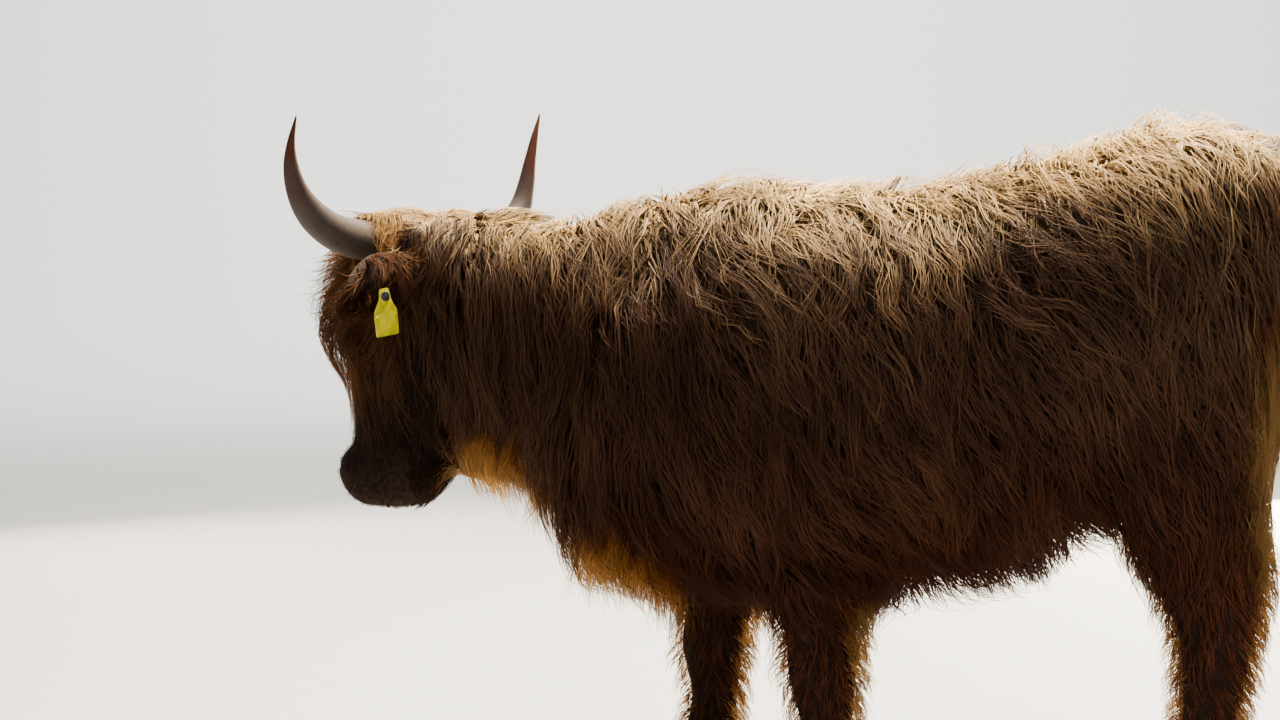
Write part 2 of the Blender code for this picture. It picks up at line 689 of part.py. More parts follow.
head = parted("head", [ahead_of_neck], socket_cutters)
neck = parted("neck", [ahead_of_trunk], [ahead_of_neck_grown, *grown_legs[:2], *socket_cutters[2:4]])
trunk = parted("trunk", [], [ahead_of_trunk_grown, *grown_legs, behind_rump_grown])
dewclaw_sockets = {leg: [] for leg in LEG_LINES}
for name, x, y in dewclaws:
    dewclaw_sockets[name.split("_", 2)[2]].append(dewclaw(name + "_socket", x, y, GAP, helper=True))
legs = []
for leg, (cutter, _) in leg_cutters.items():
    legs.append(parted(leg, [cutter], [below_coronet, *dewclaw_sockets[leg]]))
tail = parted("tail", [behind_rump, above_switch])
switch = parted("tail_switch", [behind_rump, below_switch])
dewclaws = [dewclaw(*place) for place in dewclaws]

# ---------------------------------------------------------------- finishes and origin
for obj in [head, neck, trunk, *legs, *ears]:
    obj.data.materials.clear()
    obj.data.materials.append(red_coat)
for obj in (tail, switch):
    obj.data.materials.clear()
    obj.data.materials.append(gold_coat)
for obj in horns:
    obj.data.materials.append(horn_finish)
for obj in (*claws, *dewclaws):
    obj.data.materials.append(claw_finish)
for obj in eyes:
    obj.data.materials.append(eye_finish)
flag.data.materials.append(flag_finish)
stud.data.materials.append(stud_finish)

shown = [head, neck, trunk, tail, switch, *legs, *ears, *horns, *eyes, *claws, *dewclaws, flag, stud]
bpy.context.view_layer.update()
graph = bpy.context.evaluated_depsgraph_get()
corners = []
for obj in shown:
    obj.data.shade_smooth()
    evaluated = obj.evaluated_get(graph)
    corners += [evaluated.matrix_world @ vertex.co for vertex in evaluated.data.vertices]
low, high = (Vector([pick(point[axis] for point in corners) for axis in range(3)]) for pick in (min, max))
origin.location = (-(low.x + high.x) / 2, -(low.y + high.y) / 2, 0.0)
for obj in [*shown, *cutters.objects]:
    obj.parent = origin
bpy.context.view_layer.update()
print("origin shift", tuple(origin.location), "size", tuple(high - low))
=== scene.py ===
import math

import bpy
import bmesh
import numpy as np
import openvdb
from mathutils import Matrix, Vector
from mathutils.kdtree import KDTree


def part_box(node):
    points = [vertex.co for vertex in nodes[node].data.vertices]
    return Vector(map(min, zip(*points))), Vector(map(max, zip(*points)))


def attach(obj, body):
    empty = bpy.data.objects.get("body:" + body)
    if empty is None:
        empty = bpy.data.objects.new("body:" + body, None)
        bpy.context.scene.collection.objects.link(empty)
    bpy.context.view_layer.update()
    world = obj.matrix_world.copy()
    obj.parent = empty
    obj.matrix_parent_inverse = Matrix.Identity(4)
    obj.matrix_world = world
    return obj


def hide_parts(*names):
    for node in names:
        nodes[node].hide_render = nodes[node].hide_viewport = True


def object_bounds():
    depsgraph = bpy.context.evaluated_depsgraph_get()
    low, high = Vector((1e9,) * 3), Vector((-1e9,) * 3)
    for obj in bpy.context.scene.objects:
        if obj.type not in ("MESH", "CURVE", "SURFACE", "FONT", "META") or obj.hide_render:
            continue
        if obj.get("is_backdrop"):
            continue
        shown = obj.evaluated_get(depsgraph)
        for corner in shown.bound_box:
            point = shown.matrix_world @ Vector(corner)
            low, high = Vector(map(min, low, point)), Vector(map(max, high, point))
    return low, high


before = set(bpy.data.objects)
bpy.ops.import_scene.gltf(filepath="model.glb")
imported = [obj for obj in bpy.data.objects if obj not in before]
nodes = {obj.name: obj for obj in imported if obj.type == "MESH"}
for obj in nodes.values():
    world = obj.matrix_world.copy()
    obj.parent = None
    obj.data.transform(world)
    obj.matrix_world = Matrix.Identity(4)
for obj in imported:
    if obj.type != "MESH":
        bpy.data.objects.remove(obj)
cad_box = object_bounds()


# ---- Studio ------------------------------------------------------------------
# A plain pale floor that curves up into a wall. A warm lamp hangs over the back, low
# warm ones stand behind, and a wide cool fill lights the shaded near side. The camera
# looks at that side from a little behind it.

AIM = Vector((-0.29745, -0.03512, 0.775))
CAMERA_TURN, CAMERA_RISE, CAMERA_ROLL = math.radians(20.0), math.radians(4.0), math.radians(1.5)
CAMERA_DISTANCE, CAMERA_LENS = 4.9, 85.0
FLOOR_SIDES, FLOOR_REACH, CURVE_RADIUS, WALL_TOP = 96, 9.0, 5.0, 9.0
FLOOR_COLOUR, WALL_COLOUR = (0.42, 0.415, 0.405), (0.74, 0.73, 0.71)
SKY_COLOUR, SKY_STRENGTH = (0.58, 0.75, 1.0, 1.0), 0.30

back = Vector((math.sin(CAMERA_TURN) * math.cos(CAMERA_RISE),
               -math.cos(CAMERA_TURN) * math.cos(CAMERA_RISE), math.sin(CAMERA_RISE)))
right = Vector((math.cos(CAMERA_TURN), math.sin(CAMERA_TURN), 0.0))
up = back.cross(right)
right, up = (right * math.cos(CAMERA_ROLL) - up * math.sin(CAMERA_ROLL),
             right * math.sin(CAMERA_ROLL) + up * math.cos(CAMERA_ROLL))
camera = bpy.data.objects.new("camera", bpy.data.cameras.new("camera"))
camera.data.lens = CAMERA_LENS
camera.matrix_world = (Matrix.Translation(AIM + back * CAMERA_DISTANCE)
                       @ Matrix((right, up, back)).transposed().to_4x4())
bpy.context.scene.collection.objects.link(camera)
bpy.context.scene.camera = camera


def new_piece(name, points, faces):
    """A smooth-shaded mesh object at the origin, from points and faces in metres."""
    mesh = bpy.data.meshes.new(name)
    mesh.from_pydata([tuple(p) for p in points], [], [tuple(f) for f in faces])
    mesh.update()
    mesh.shade_smooth()
    piece = bpy.data.objects.new(name, mesh)
    bpy.context.scene.collection.objects.link(piece)
    return piece


class Paint:
    """A material with one Principled shader, and short names for the nodes that feed it."""

    def __init__(self, name, colour, roughness, **sockets):
        self.material = bpy.data.materials.new(name)
        self.material.use_nodes = True
        self.tree = self.material.node_tree
        self.shader = self.tree.nodes["Principled BSDF"]
        for socket, value in {"Base_Color": (*colour, 1.0), "Roughness": roughness, **sockets}.items():
            self.shader.inputs[socket.replace("_", " ")].default_value = value

    def add(self, kind, values, output=0, **settings):
        """One output of a new node, whose inputs are plain values or outputs of other nodes."""
        node = self.tree.nodes.new("ShaderNode" + kind)
        for key, value in settings.items():
            setattr(node, key, value)
        for socket, value in values.items():
            if isinstance(value, bpy.types.NodeSocket):
                self.tree.links.new(value, node.inputs[socket])
            else:
                node.inputs[socket].default_value = value
        return node.outputs[output]

    def feed(self, output, socket="Base Color"):
        self.tree.links.new(output, self.shader.inputs[socket])

    def place(self):
        return self.add("TexCoord", {}, "Object")

    def marking(self, name, output="Fac"):
        return self.add("Attribute", {}, output, attribute_name=name)

    def axis(self, vector, name):
        return self.add("SeparateXYZ", {"Vector": vector}, name)

    def vector(self, x, y, z=0.0):
        return self.add("CombineXYZ", {"X": x, "Y": y, "Z": z})

    def length(self, vector):
        return self.add("VectorMath", {0: vector}, "Value", operation="LENGTH")

    def scaled(self, vector, scale):
        return self.add("Mapping", {"Vector": vector, "Scale": scale})

    def spread(self, value, low, high, start=0.0, end=1.0):
        """The value from low to high laid out from start to end, and held there beyond."""
        return self.add("MapRange", {"Value": value, "From Min": low, "From Max": high,
                                     "To Min": start, "To Max": end})

    def sums(self, *terms):
        """The sum of (value, weight) terms."""
        total = 0.0
        for value, weight in terms:
            total = self.add("Math", {0: value, 1: weight, 2: total}, operation="MULTIPLY_ADD")
        return total

    def noise(self, vector, scale, detail=2.0, roughness=0.5):
        return self.add("TexNoise", {"Vector": vector, "Scale": scale, "Detail": detail,
                                     "Roughness": roughness}, "Fac")

    def mix(self, share, first, second, blend="MIX"):
        return self.add("Mix", {0: share, 6: first, 7: second}, 2, data_type="RGBA", blend_type=blend)

    def ramp(self, value, stops, smooth=False):
        """Colours at places along the value: stops are (place, colour)."""
        output = self.add("ValToRGB", {"Fac": value}, "Color")
        band = output.node.color_ramp
        band.interpolation = "EASE" if smooth else "LINEAR"
        while len(band.elements) < len(stops):
            band.elements.new(1.0)
        for element, (place, colour) in zip(band.elements, stops):
            element.position, element.color = place, (*colour, 1.0)
        return output

    def bump(self, height, strength, distance):
        self.feed(self.add("Bump", {"Height": height, "Strength": strength, "Distance": distance}), "Normal")


curve = [(FLOOR_REACH + CURVE_RADIUS * math.sin(t), CURVE_RADIUS * (1 - math.cos(t)))
         for t in np.linspace(0.1, math.pi / 2, 14)]
profile = ([(r, 0.0) for r in (0.05, 1.5, 3.0, 6.0, FLOOR_REACH)] + curve
           + [(FLOOR_REACH + CURVE_RADIUS, WALL_TOP)])
points = [(r * math.cos(k * math.tau / FLOOR_SIDES), r * math.sin(k * math.tau / FLOOR_SIDES), h)
          for r, h in profile for k in range(FLOOR_SIDES)]
faces = [tuple(range(FLOOR_SIDES))]
for i in range(len(profile) - 1):
    for k in range(FLOOR_SIDES):
        a, b = i * FLOOR_SIDES + k, i * FLOOR_SIDES + (k + 1) % FLOOR_SIDES
        faces.append((a + FLOOR_SIDES, b + FLOOR_SIDES, b, a))
floor = new_piece("floor", points, faces)
paint = Paint("floor_paint", FLOOR_COLOUR, 0.85)
away = paint.spread(paint.length(paint.place()), 5.0, 11.0)
paint.feed(paint.ramp(away, ((0.0, FLOOR_COLOUR), (1.0, WALL_COLOUR)), True))
floor.data.materials.append(paint.material)
floor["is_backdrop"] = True
bpy.context.scene.view_settings.look = "AgX - Medium High Contrast"

for name, place, aim, size, power, colour in (
        ("key", (1.3, 3.3, 5.0), (0.0, 0.0, 0.7), 2.0, 200.0, (1.0, 0.93, 0.81)),
        ("top", (0.2, 1.1, 5.2), (0.0, 0.0, 0.9), 2.0, 1250.0, (1.0, 0.92, 0.78)),
        ("rim", (-3.4, 3.4, 1.5), (0.0, 0.0, 0.7), 1.8, 110.0, (1.0, 0.90, 0.74)),
        ("low_rim", (0.3, 4.6, 0.9), (0.0, 0.0, 0.7), 1.6, 300.0, (1.0, 0.89, 0.72)),
        ("wall", (-2.0, 7.0, 6.5), (-6.0, 13.0, 3.0), 3.0, 900.0, (1.0, 0.99, 0.97)),
        ("fill", (2.4, -6.5, 3.0), (0.0, 0.0, 0.7), 6.0, 105.0, (0.62, 0.81, 1.0))):
    lamp = bpy.data.objects.new(name, bpy.data.lights.new(name, "AREA"))
    lamp.data.shape = "DISK"
    lamp.data.size, lamp.data.energy, lamp.data.color = size, power, colour
    lamp.location = place
    lamp.visible_camera = False
    lamp.rotation_euler = (Vector(aim) - Vector(place)).to_track_quat("-Z", "Y").to_euler()
    bpy.context.scene.collection.objects.link(lamp)
world = bpy.data.worlds.new("studio")
world.use_nodes = True
sky = world.node_tree.nodes["Background"].inputs
sky["Color"].default_value, sky["Strength"].default_value = SKY_COLOUR, SKY_STRENGTH
bpy.context.scene.world = world


# ---- Body form under the coat ------------------------------------------------
# The carved body that the coat is laid on: trunk, neck, tail and four legs in one
# closed skin. It lies inside the finished outline by the coat's depth, which is
# least on the feet and tail and deepest at the throat, brisket and belly.

BODY_STEP, BODY_MARGIN = 0.008, 0.09
FLESH = ["head", "neck", "trunk", "tail", "tail_switch", "foreleg_left", "foreleg_right",
         "hindleg_left", "hindleg_right"]
HORN_LINE = np.array((-0.71845, 0.03988, 0.980))
HEAD_TURN = math.radians(16.0)
AHEAD = np.array((-math.cos(HEAD_TURN), math.sin(HEAD_TURN), 0.0))
LEFT = np.array((-AHEAD[1], AHEAD[0], 0.0))
SEAM_GAP = 0.0012
HAIR_DEPTH = {"head": 0.012, "neck": 0.040, "trunk": 0.036, "tail": 0.022, "tail_switch": 0.030,
              "leg": 0.024}
UNDER_DEPTH = {"neck": 0.040, "trunk": 0.034, "leg": 0.006}
FOOT_DEPTH, FOOT_TOP, ANKLE = 0.004, 0.06, 0.13
NODE_REACH, OUTLINE_REACH = 0.05, 0.13
NECK_END, NECK_CAP = 0.045, 0.1


def read(data, key, width, kind=np.float32):
    """One property of all the elements of a mesh, a row for each."""
    values = np.empty(len(data) * width, kind)
    data.foreach_get(key, values)
    return values.reshape(-1, width)


def merged(piece):
    """Points and triangles of a mesh whose triangles are loose, with shared corners merged."""
    mesh = piece.data
    mesh.calc_loop_triangles()
    corners = read(mesh.loop_triangles, "vertices", 3, np.int32)
    shared, index = np.unique(np.round(read(mesh.vertices, "co", 3), 5), axis=0, return_inverse=True)
    return shared, index.reshape(-1)[corners]


def head_place(x, y, z):
    """How far ahead of the horn line, left of its middle and below it a place lies."""
    x, y = x - HORN_LINE[0], y - HORN_LINE[1]
    return x * AHEAD[0] + y * AHEAD[1], x * LEFT[0] + y * LEFT[1], HORN_LINE[2] - z


class Field:
    """Values on a regular grid of points: low corner, step and a 3-D array."""

    def __init__(self, low, step, values):
        self.low, self.step, self.values = np.asarray(low, float), step, values

    def places(self):
        x, y, z = (self.low[k] + self.step * np.arange(self.values.shape[k]) for k in range(3))
        return x[:, None, None], y[None, :, None], z[None, None, :]

    def at(self, points):
        q = (points - self.low) / self.step
        q = np.clip(q, 0.0, np.array(self.values.shape) - 1.001)
        i = q.astype(np.int64)
        f = q - i
        _, ny, nz = self.values.shape
        flat = self.values.reshape(-1)
        base = (i[:, 0] * ny + i[:, 1]) * nz + i[:, 2]
        total = 0.0
        for dx in (0, 1):
            wx = f[:, 0] if dx else 1 - f[:, 0]
            for dy in (0, 1):
                wy = f[:, 1] if dy else 1 - f[:, 1]
                row = base + dx * ny * nz + dy * nz
                total = total + wx * wy * (flat[row] * (1 - f[:, 2]) + flat[row + 1] * f[:, 2])
        return total

    def slope(self, points):
        """Unit direction in which the values grow."""
        reach = self.step * 1.2
        out = np.empty_like(points)
        for k in range(3):
            shift = np.zeros(3)
            shift[k] = reach
            out[:, k] = self.at(points + shift) - self.at(points - shift)
        return unit(out)

    def softened(self, rounds):
        values = self.values
        for _ in range(rounds):
            for axis in range(3):
                ahead = np.concatenate([values.take(range(1, values.shape[axis]), axis),
                                        values.take([-1], axis)], axis)
                behind = np.concatenate([values.take([0], axis),
                                         values.take(range(values.shape[axis] - 1), axis)], axis)
                values = 0.5 * values + 0.25 * (ahead + behind)
        return Field(self.low, self.step, values.astype(np.float32))

    def surface(self, level=0.0, adaptivity=0.0):
        grid = openvdb.FloatGrid(background=float(self.values.max()))
        grid.copyFromArray(np.ascontiguousarray(self.values, np.float32))
        grid.transform = openvdb.createLinearTransform(voxelSize=self.step)
        points, triangles, quads = grid.convertToPolygons(isovalue=level, adaptivity=adaptivity)
        return points + self.low, triangles, quads


def unit(vectors):
    return vectors / np.maximum(np.linalg.norm(vectors, axis=-1, keepdims=True), 1e-9)


def distance(points, triangles, low, step, shape, reach, quads=None):
    """Signed distance to a closed surface, below 0 inside, out to the given reach."""
    grid = openvdb.FloatGrid.createLevelSetFromPolygons(
        np.ascontiguousarray(points - low, np.float32),
        triangles=np.ascontiguousarray(triangles, np.uint32),
        quads=None if quads is None else np.ascontiguousarray(quads, np.uint32),
        transform=openvdb.createLinearTransform(voxelSize=step), halfWidth=reach / step)
    values = np.zeros(shape, np.float32)
    grid.copyToArray(values)
    return Field(low, step, values)


low_corner = np.array(cad_box[0]) - BODY_MARGIN
high_corner = np.array(cad_box[1]) + BODY_MARGIN
grid_shape = tuple(int(s) for s in np.ceil((high_corner - low_corner) / BODY_STEP) + 1)
stack = np.stack([distance(*merged(nodes[name]), low_corner, BODY_STEP, grid_shape, NODE_REACH).values
                  for name in FLESH])
owner = stack.argmin(0).astype(np.int8)
joined = Field(low_corner, BODY_STEP, stack.min(0))
outline_points, outline_triangles, outline_quads = joined.surface(SEAM_GAP)
outline = distance(outline_points, outline_triangles, low_corner, BODY_STEP, grid_shape, OUTLINE_REACH,
                   outline_quads)
del stack, joined

rise = np.gradient(outline.softened(3).values, BODY_STEP, axis=2)
under = np.clip(-rise, 0.0, 1.0)
depth = np.full(grid_shape, HAIR_DEPTH["trunk"], np.float32)
for number, name in enumerate(FLESH):
    kind = "leg" if "leg" in name else name
    mine = owner == number
    depth[mine] = HAIR_DEPTH[kind]
    if kind in UNDER_DEPTH:
        depth[mine] += UNDER_DEPTH[kind] * under[mine]
depth = Field(low_corner, BODY_STEP, depth).softened(14).values
x, y, z = outline.places()
foot = np.clip((z - FOOT_TOP) / ANKLE, 0.0, 1.0)
depth = FOOT_DEPTH + (depth - FOOT_DEPTH) * foot
neck_cut = np.minimum(head_place(x, y, z)[0] + NECK_END, NECK_CAP)
body_form = Field(low_corner, BODY_STEP,
                  np.maximum(outline.values + depth, neck_cut).astype(np.float32)).softened(2)


# ---- Head form ----------------------------------------------------------------
# The carved head under its short hair: skull, brow, cheeks, jaw, soft muzzle with
# nostrils and lips, and the eye sockets. It is carved of one piece with the neck.

HEAD_ROWS = [  # drop below the horn line, front, back, half width of the haired outline
    (-0.034, 0.040, -0.060, 0.058), (-0.020, 0.070, -0.105, 0.092), (0.020, 0.098, -0.130, 0.108),
    (0.085, 0.114, -0.138, 0.108), (0.150, 0.124, -0.135, 0.102), (0.210, 0.132, -0.128, 0.096),
    (0.270, 0.136, -0.120, 0.086), (0.325, 0.138, -0.098, 0.075), (0.372, 0.144, -0.066, 0.070),
    (0.412, 0.150, -0.036, 0.074), (0.442, 0.145, -0.006, 0.068), (0.460, 0.118, 0.020, 0.046)]
HEAD_SQUARENESS = 2.3
HEAD_SIDES, HEAD_STEP, HEAD_MARGIN, HEAD_REACH = 48, 0.0036, 0.03, 0.07
HEAD_LOW, HEAD_HIGH = (-0.93, -0.13, 0.49), (-0.50, 0.21, 1.05)
FACE_HAIR, MUZZLE_HAIR, MUZZLE_TOP = 0.010, 0.0035, 0.33
LIP_GAP, LIP_DEPTH, MOUTH_CORNER = 0.0012, 0.011, 0.372
EYE, EYE_RADIUS = (0.064, 0.0935, 0.166), 0.0195


def on_head(ahead, left, drop):
    return HORN_LINE + AHEAD * ahead + LEFT * left - np.array((0.0, 0.0, drop))


def lofted(rows):
    """Points and triangles of closed rings joined in order, with fans at both ends."""
    count = len(rows[0])
    points = np.concatenate([np.concatenate(rows), rows[0].mean(0)[None], rows[-1].mean(0)[None]])
    faces = []
    for i in range(len(rows) - 1):
        for k in range(count):
            a, b = i * count + k, i * count + (k + 1) % count
            faces += [(a, b, b + count), (a, b + count, a + count)]
    first, last, top = len(rows) * count, len(rows) * count + 1, (len(rows) - 1) * count
    for k in range(count):
        faces += [(first, (k + 1) % count, k), (last, top + k, top + (k + 1) % count)]
    return points, np.array(faces)


def spline(rows, parts):
    """Catmull-Rom rows between the given ones."""
    rows = np.array(rows, float)
    padded = np.concatenate([2 * rows[:1] - rows[1:2], rows, 2 * rows[-1:] - rows[-2:-1]])
    out = []
    for i in range(len(rows) - 1):
        a, b, c, d = padded[i:i + 4]
        for t in np.arange(parts) / parts:
            out.append(0.5 * (2 * b + (c - a) * t + (2 * a - 5 * b + 4 * c - d) * t * t
                              + (3 * b - a - 3 * c + d) * t ** 3))
    return np.array(out + [rows[-1]])


rings = []
angle = np.arange(HEAD_SIDES) * math.tau / HEAD_SIDES
for drop, front, rear, half in spline(HEAD_ROWS, 3):
    along, across = (np.sign(turn) * np.abs(turn) ** (2.0 / HEAD_SQUARENESS)
                     for turn in (np.cos(angle), np.sin(angle)))
    along = (front + rear) / 2 + (front - rear) / 2 * along
    rings.append(HORN_LINE + along[:, None] * AHEAD + half * across[:, None] * LEFT
                 - np.array((0.0, 0.0, drop)))
head_low = np.array(HEAD_LOW) - HEAD_MARGIN
head_span = np.array(HEAD_HIGH) + HEAD_MARGIN - head_low
head_shape = tuple(int(s) for s in np.ceil(head_span / HEAD_STEP) + 1)
skull = distance(*lofted(rings), head_low, HEAD_STEP, head_shape, HEAD_REACH)
ahead, aside, drop = head_place(*skull.places())
form = skull.values + FACE_HAIR + (MUZZLE_HAIR - FACE_HAIR) * np.clip((drop - MUZZLE_TOP) / 0.06, 0, 1)


def egg(centre, radii, tilt=0.0):
    """Distance, near enough, to an ellipsoid; both sides at once. tilt turns it front to back."""
    u, v, w = ahead - centre[0], np.abs(aside) - centre[1], drop - centre[2]
    u, w = (u * math.cos(tilt) - w * math.sin(tilt), u * math.sin(tilt) + w * math.cos(tilt))
    size = np.sqrt((u / radii[0]) ** 2 + (v / radii[1]) ** 2 + (w / radii[2]) ** 2)
    return (size - 1.0) * min(radii)


def add_soft(first, second, blend):
    mix = np.clip(0.5 + 0.5 * (second - first) / blend, 0, 1)
    return second + (first - second) * mix - blend * mix * (1 - mix)


def cut_soft(first, second, blend):
    return -add_soft(-first, second, blend)


for centre, radii, tilt, blend in (
        ((0.052, 0.072, 0.128), (0.040, 0.030, 0.024), 0.0, 0.020),      # brow over the eye
        ((-0.030, 0.052, 0.215), (0.070, 0.040, 0.085), 0.0, 0.030),     # cheek
        ((0.050, 0.070, 0.235), (0.030, 0.016, 0.060), -0.25, 0.022),    # cheekbone ridge
        ((0.108, 0.000, 0.290), (0.022, 0.034, 0.110), 0.05, 0.020),     # nose bone
        ((0.100, 0.020, 0.402), (0.046, 0.046, 0.046), 0.0, 0.020),      # muzzle
        ((0.114, 0.040, 0.396), (0.034, 0.028, 0.034), 0.0, 0.016),      # nostril wing
        ((0.052, 0.000, 0.436), (0.036, 0.036, 0.024), -0.3, 0.012)):    # chin
    form = add_soft(form, egg(centre, radii, tilt), blend)
for centre, radii, tilt, blend in (
        ((0.075, 0.090, 0.300), (0.030, 0.014, 0.055), 0.1, 0.022),      # hollow before the cheek
        ((0.012, 0.080, 0.345), (0.034, 0.012, 0.030), 0.2, 0.020),      # hollow behind the lips
        ((-0.120, 0.000, 0.290), (0.040, 0.028, 0.090), 0.3, 0.025),     # between the jaws
        ((0.150, 0.000, 0.425), (0.012, 0.0035, 0.030), 0.0, 0.006),     # groove of the upper lip
        ((0.143, 0.034, 0.400), (0.019, 0.0088, 0.0155), 0.6, 0.004),    # nostril
        ((0.134, 0.047, 0.392), (0.012, 0.0095, 0.0040), 0.3, 0.004)):   # its slit to the side
    form = cut_soft(form, egg(centre, radii, tilt), blend)
slit = np.abs((ahead - 0.085) * 0.62 - (drop - 0.447) * 0.785 + 3.0 * (ahead - 0.05) ** 2 - 0.004) - LIP_GAP
slit = np.maximum(slit, MOUTH_CORNER - drop)
form = cut_soft(form, np.maximum(slit, -(form + LIP_DEPTH)), 0.004)
eye_distance = np.sqrt((ahead - EYE[0]) ** 2 + (np.abs(aside) - EYE[1]) ** 2 + (drop - EYE[2]) ** 2)
form = add_soft(form, eye_distance - (EYE_RADIUS + 0.0045), 0.014)
form = np.maximum(form, EYE_RADIUS + 0.0006 - eye_distance)
gape = np.sqrt(((ahead - EYE[0] - 0.004) / 0.0185) ** 2 + ((drop - EYE[2]) / 0.0125) ** 2)
gape = np.maximum((gape - 1.0) * 0.012, EYE[1] + 0.002 - np.abs(aside))
form = np.maximum(form, -gape)
head_form = Field(head_low, HEAD_STEP, form.astype(np.float32)).softened(1)


def closed_mesh(name, field, adaptivity=0.0):
    points, triangles, quads = field.surface(adaptivity=adaptivity)
    return new_piece(name, points, list(triangles) + list(quads))


def outward(piece):
    """Turns the faces of a closed piece to face out."""
    mesh = bmesh.new()
    mesh.from_mesh(piece.data)
    bmesh.ops.recalc_face_normals(mesh, faces=mesh.faces)
    mesh.to_mesh(piece.data)
    mesh.free()
    return piece


def weld(piece, others):
    """Joins closed meshes into one closed skin."""
    for other in others:
        joint = piece.modifiers.new("join", "BOOLEAN")
        joint.operation, joint.object, joint.solver = "UNION", other, "MANIFOLD"
    graph = bpy.context.evaluated_depsgraph_get()
    mesh = bpy.data.meshes.new_from_object(piece.evaluated_get(graph))
    piece.modifiers.clear()
    piece.data = mesh
    for other in others:
        bpy.data.objects.remove(other)
    return piece


skin = closed_mesh("skin", body_form, 0.12)
face = closed_mesh("face", head_form)


# ---- Ears and eyelids -----------------------------------------------------------
# Leaf-shaped ears, about 8 mm thick, cupped with the opening to the front, and the
# thick rims of the eyelids. They are one with the skin of the head.

EAR_ROWS = [  # left, drop, ahead, half height of the leaf, how far the leaf is cupped
    (0.072, 0.050, -0.046, 0.020, 0.004), (0.100, 0.053, -0.052, 0.028, 0.009),
    (0.140, 0.057, -0.060, 0.036, 0.013), (0.180, 0.062, -0.066, 0.039, 0.014),
    (0.215, 0.067, -0.071, 0.034, 0.011), (0.245, 0.072, -0.075, 0.024, 0.006),
    (0.262, 0.076, -0.077, 0.014, 0.003), (0.270, 0.078, -0.078, 0.006, 0.001)]
EAR_THICKNESS, EAR_SIDES, LID_TURNS, LID_SIDES = 0.008, 28, 40, 10
LID_WIDTH, LID_HEIGHT, LID_SHIFT = 0.0168, 0.0108, 0.002
UPPER_LID, LOWER_LID = 0.0046, 0.0034
TAG_PLACE, TAG_TURN, TAG_LEAN = (-0.090, 0.194, 0.091), math.radians(-12.0), math.radians(5.0)

tag_frame = (Matrix.Translation(Vector(on_head(*TAG_PLACE))) @ Matrix.Rotation(TAG_TURN, 4, "Z")
             @ Matrix((-LEFT, (0, 0, 1), -AHEAD)).transposed().to_4x4()
             @ Matrix.Rotation(TAG_LEAN, 4, "Z"))
angle = np.arange(EAR_SIDES) * math.tau / EAR_SIDES
welded = [face]
for side in (1, -1):
    rows = spline(EAR_ROWS, 4)
    centres = np.array([on_head(row[2], side * row[0], row[1]) for row in rows])
    axis = unit(np.gradient(centres, axis=0))
    tall = unit(np.cross(axis, AHEAD))
    thick = np.cross(tall, axis)
    thick *= np.sign(thick @ AHEAD)[:, None]
    rings = []
    for k, (_, _, _, half, cup) in enumerate(rows):
        across = half * np.cos(angle)
        through = (EAR_THICKNESS / 2 * np.sin(angle) * min(1.0, half / 0.012)
                   - cup * (1 - np.cos(angle) ** 2 * 1.6))
        rings.append(centres[k] + across[:, None] * tall[k] + through[:, None] * thick[k])
    welded.append(outward(new_piece("ear_leaf", *lofted(rings))))
    radius = EYE_RADIUS + 0.0012
    middle = on_head(EYE[0], side * EYE[1], EYE[2])
    points, faces = [], []
    for i in range(LID_TURNS):
        a = i * math.tau / LID_TURNS
        along, high = LID_WIDTH * math.cos(a), LID_HEIGHT * math.sin(a) * (1.0 - 0.25 * math.cos(a) ** 2)
        out = math.sqrt(max(radius ** 2 - (along + LID_SHIFT) ** 2 - high ** 2, 1e-6))
        spot = on_head(EYE[0] + along + LID_SHIFT, side * (EYE[1] + out), EYE[2] - high)
        level = unit(spot - middle)
        beside = unit(on_head(EYE[0] + along * 2, side * (EYE[1] + out * 0.7), EYE[2] - high * 2) - spot)
        beside = unit(beside - level * (beside @ level))
        fat = LOWER_LID + (UPPER_LID - LOWER_LID) * (0.5 + 0.5 * math.sin(a))
        for j in range(LID_SIDES):
            b = j * math.tau / LID_SIDES
            points.append(spot + beside * fat * (0.6 + math.cos(b)) + level * fat * 0.8 * math.sin(b))
            here, there, beyond = i * LID_SIDES, (i + 1) % LID_TURNS * LID_SIDES, (j + 1) % LID_SIDES
            faces.append((here + j, here + beyond, there + beyond, there + j))
    welded.append(outward(new_piece("lid_rim", points, faces)))
skin = weld(skin, welded)
skin.name = "hide_skin"
skin.data.shade_smooth()
bpy.context.view_layer.objects.active = skin
skin.select_set(True)
bpy.ops.object.mode_set(mode="EDIT")
bpy.ops.mesh.select_all(action="SELECT")
bpy.ops.uv.smart_project(angle_limit=math.radians(66), island_margin=0.001)
bpy.ops.object.mode_set(mode="OBJECT")
skin.data.uv_layers[0].name = "OFBake"
skin.data.calc_loop_triangles()


# ---- Coat: growing and combing --------------------------------------------------
# The coat is laid lock by lock: closed tapering tufts, a few millimetres wide, set
# in the skin and combed along the lie of the hair. They wave together in locks.

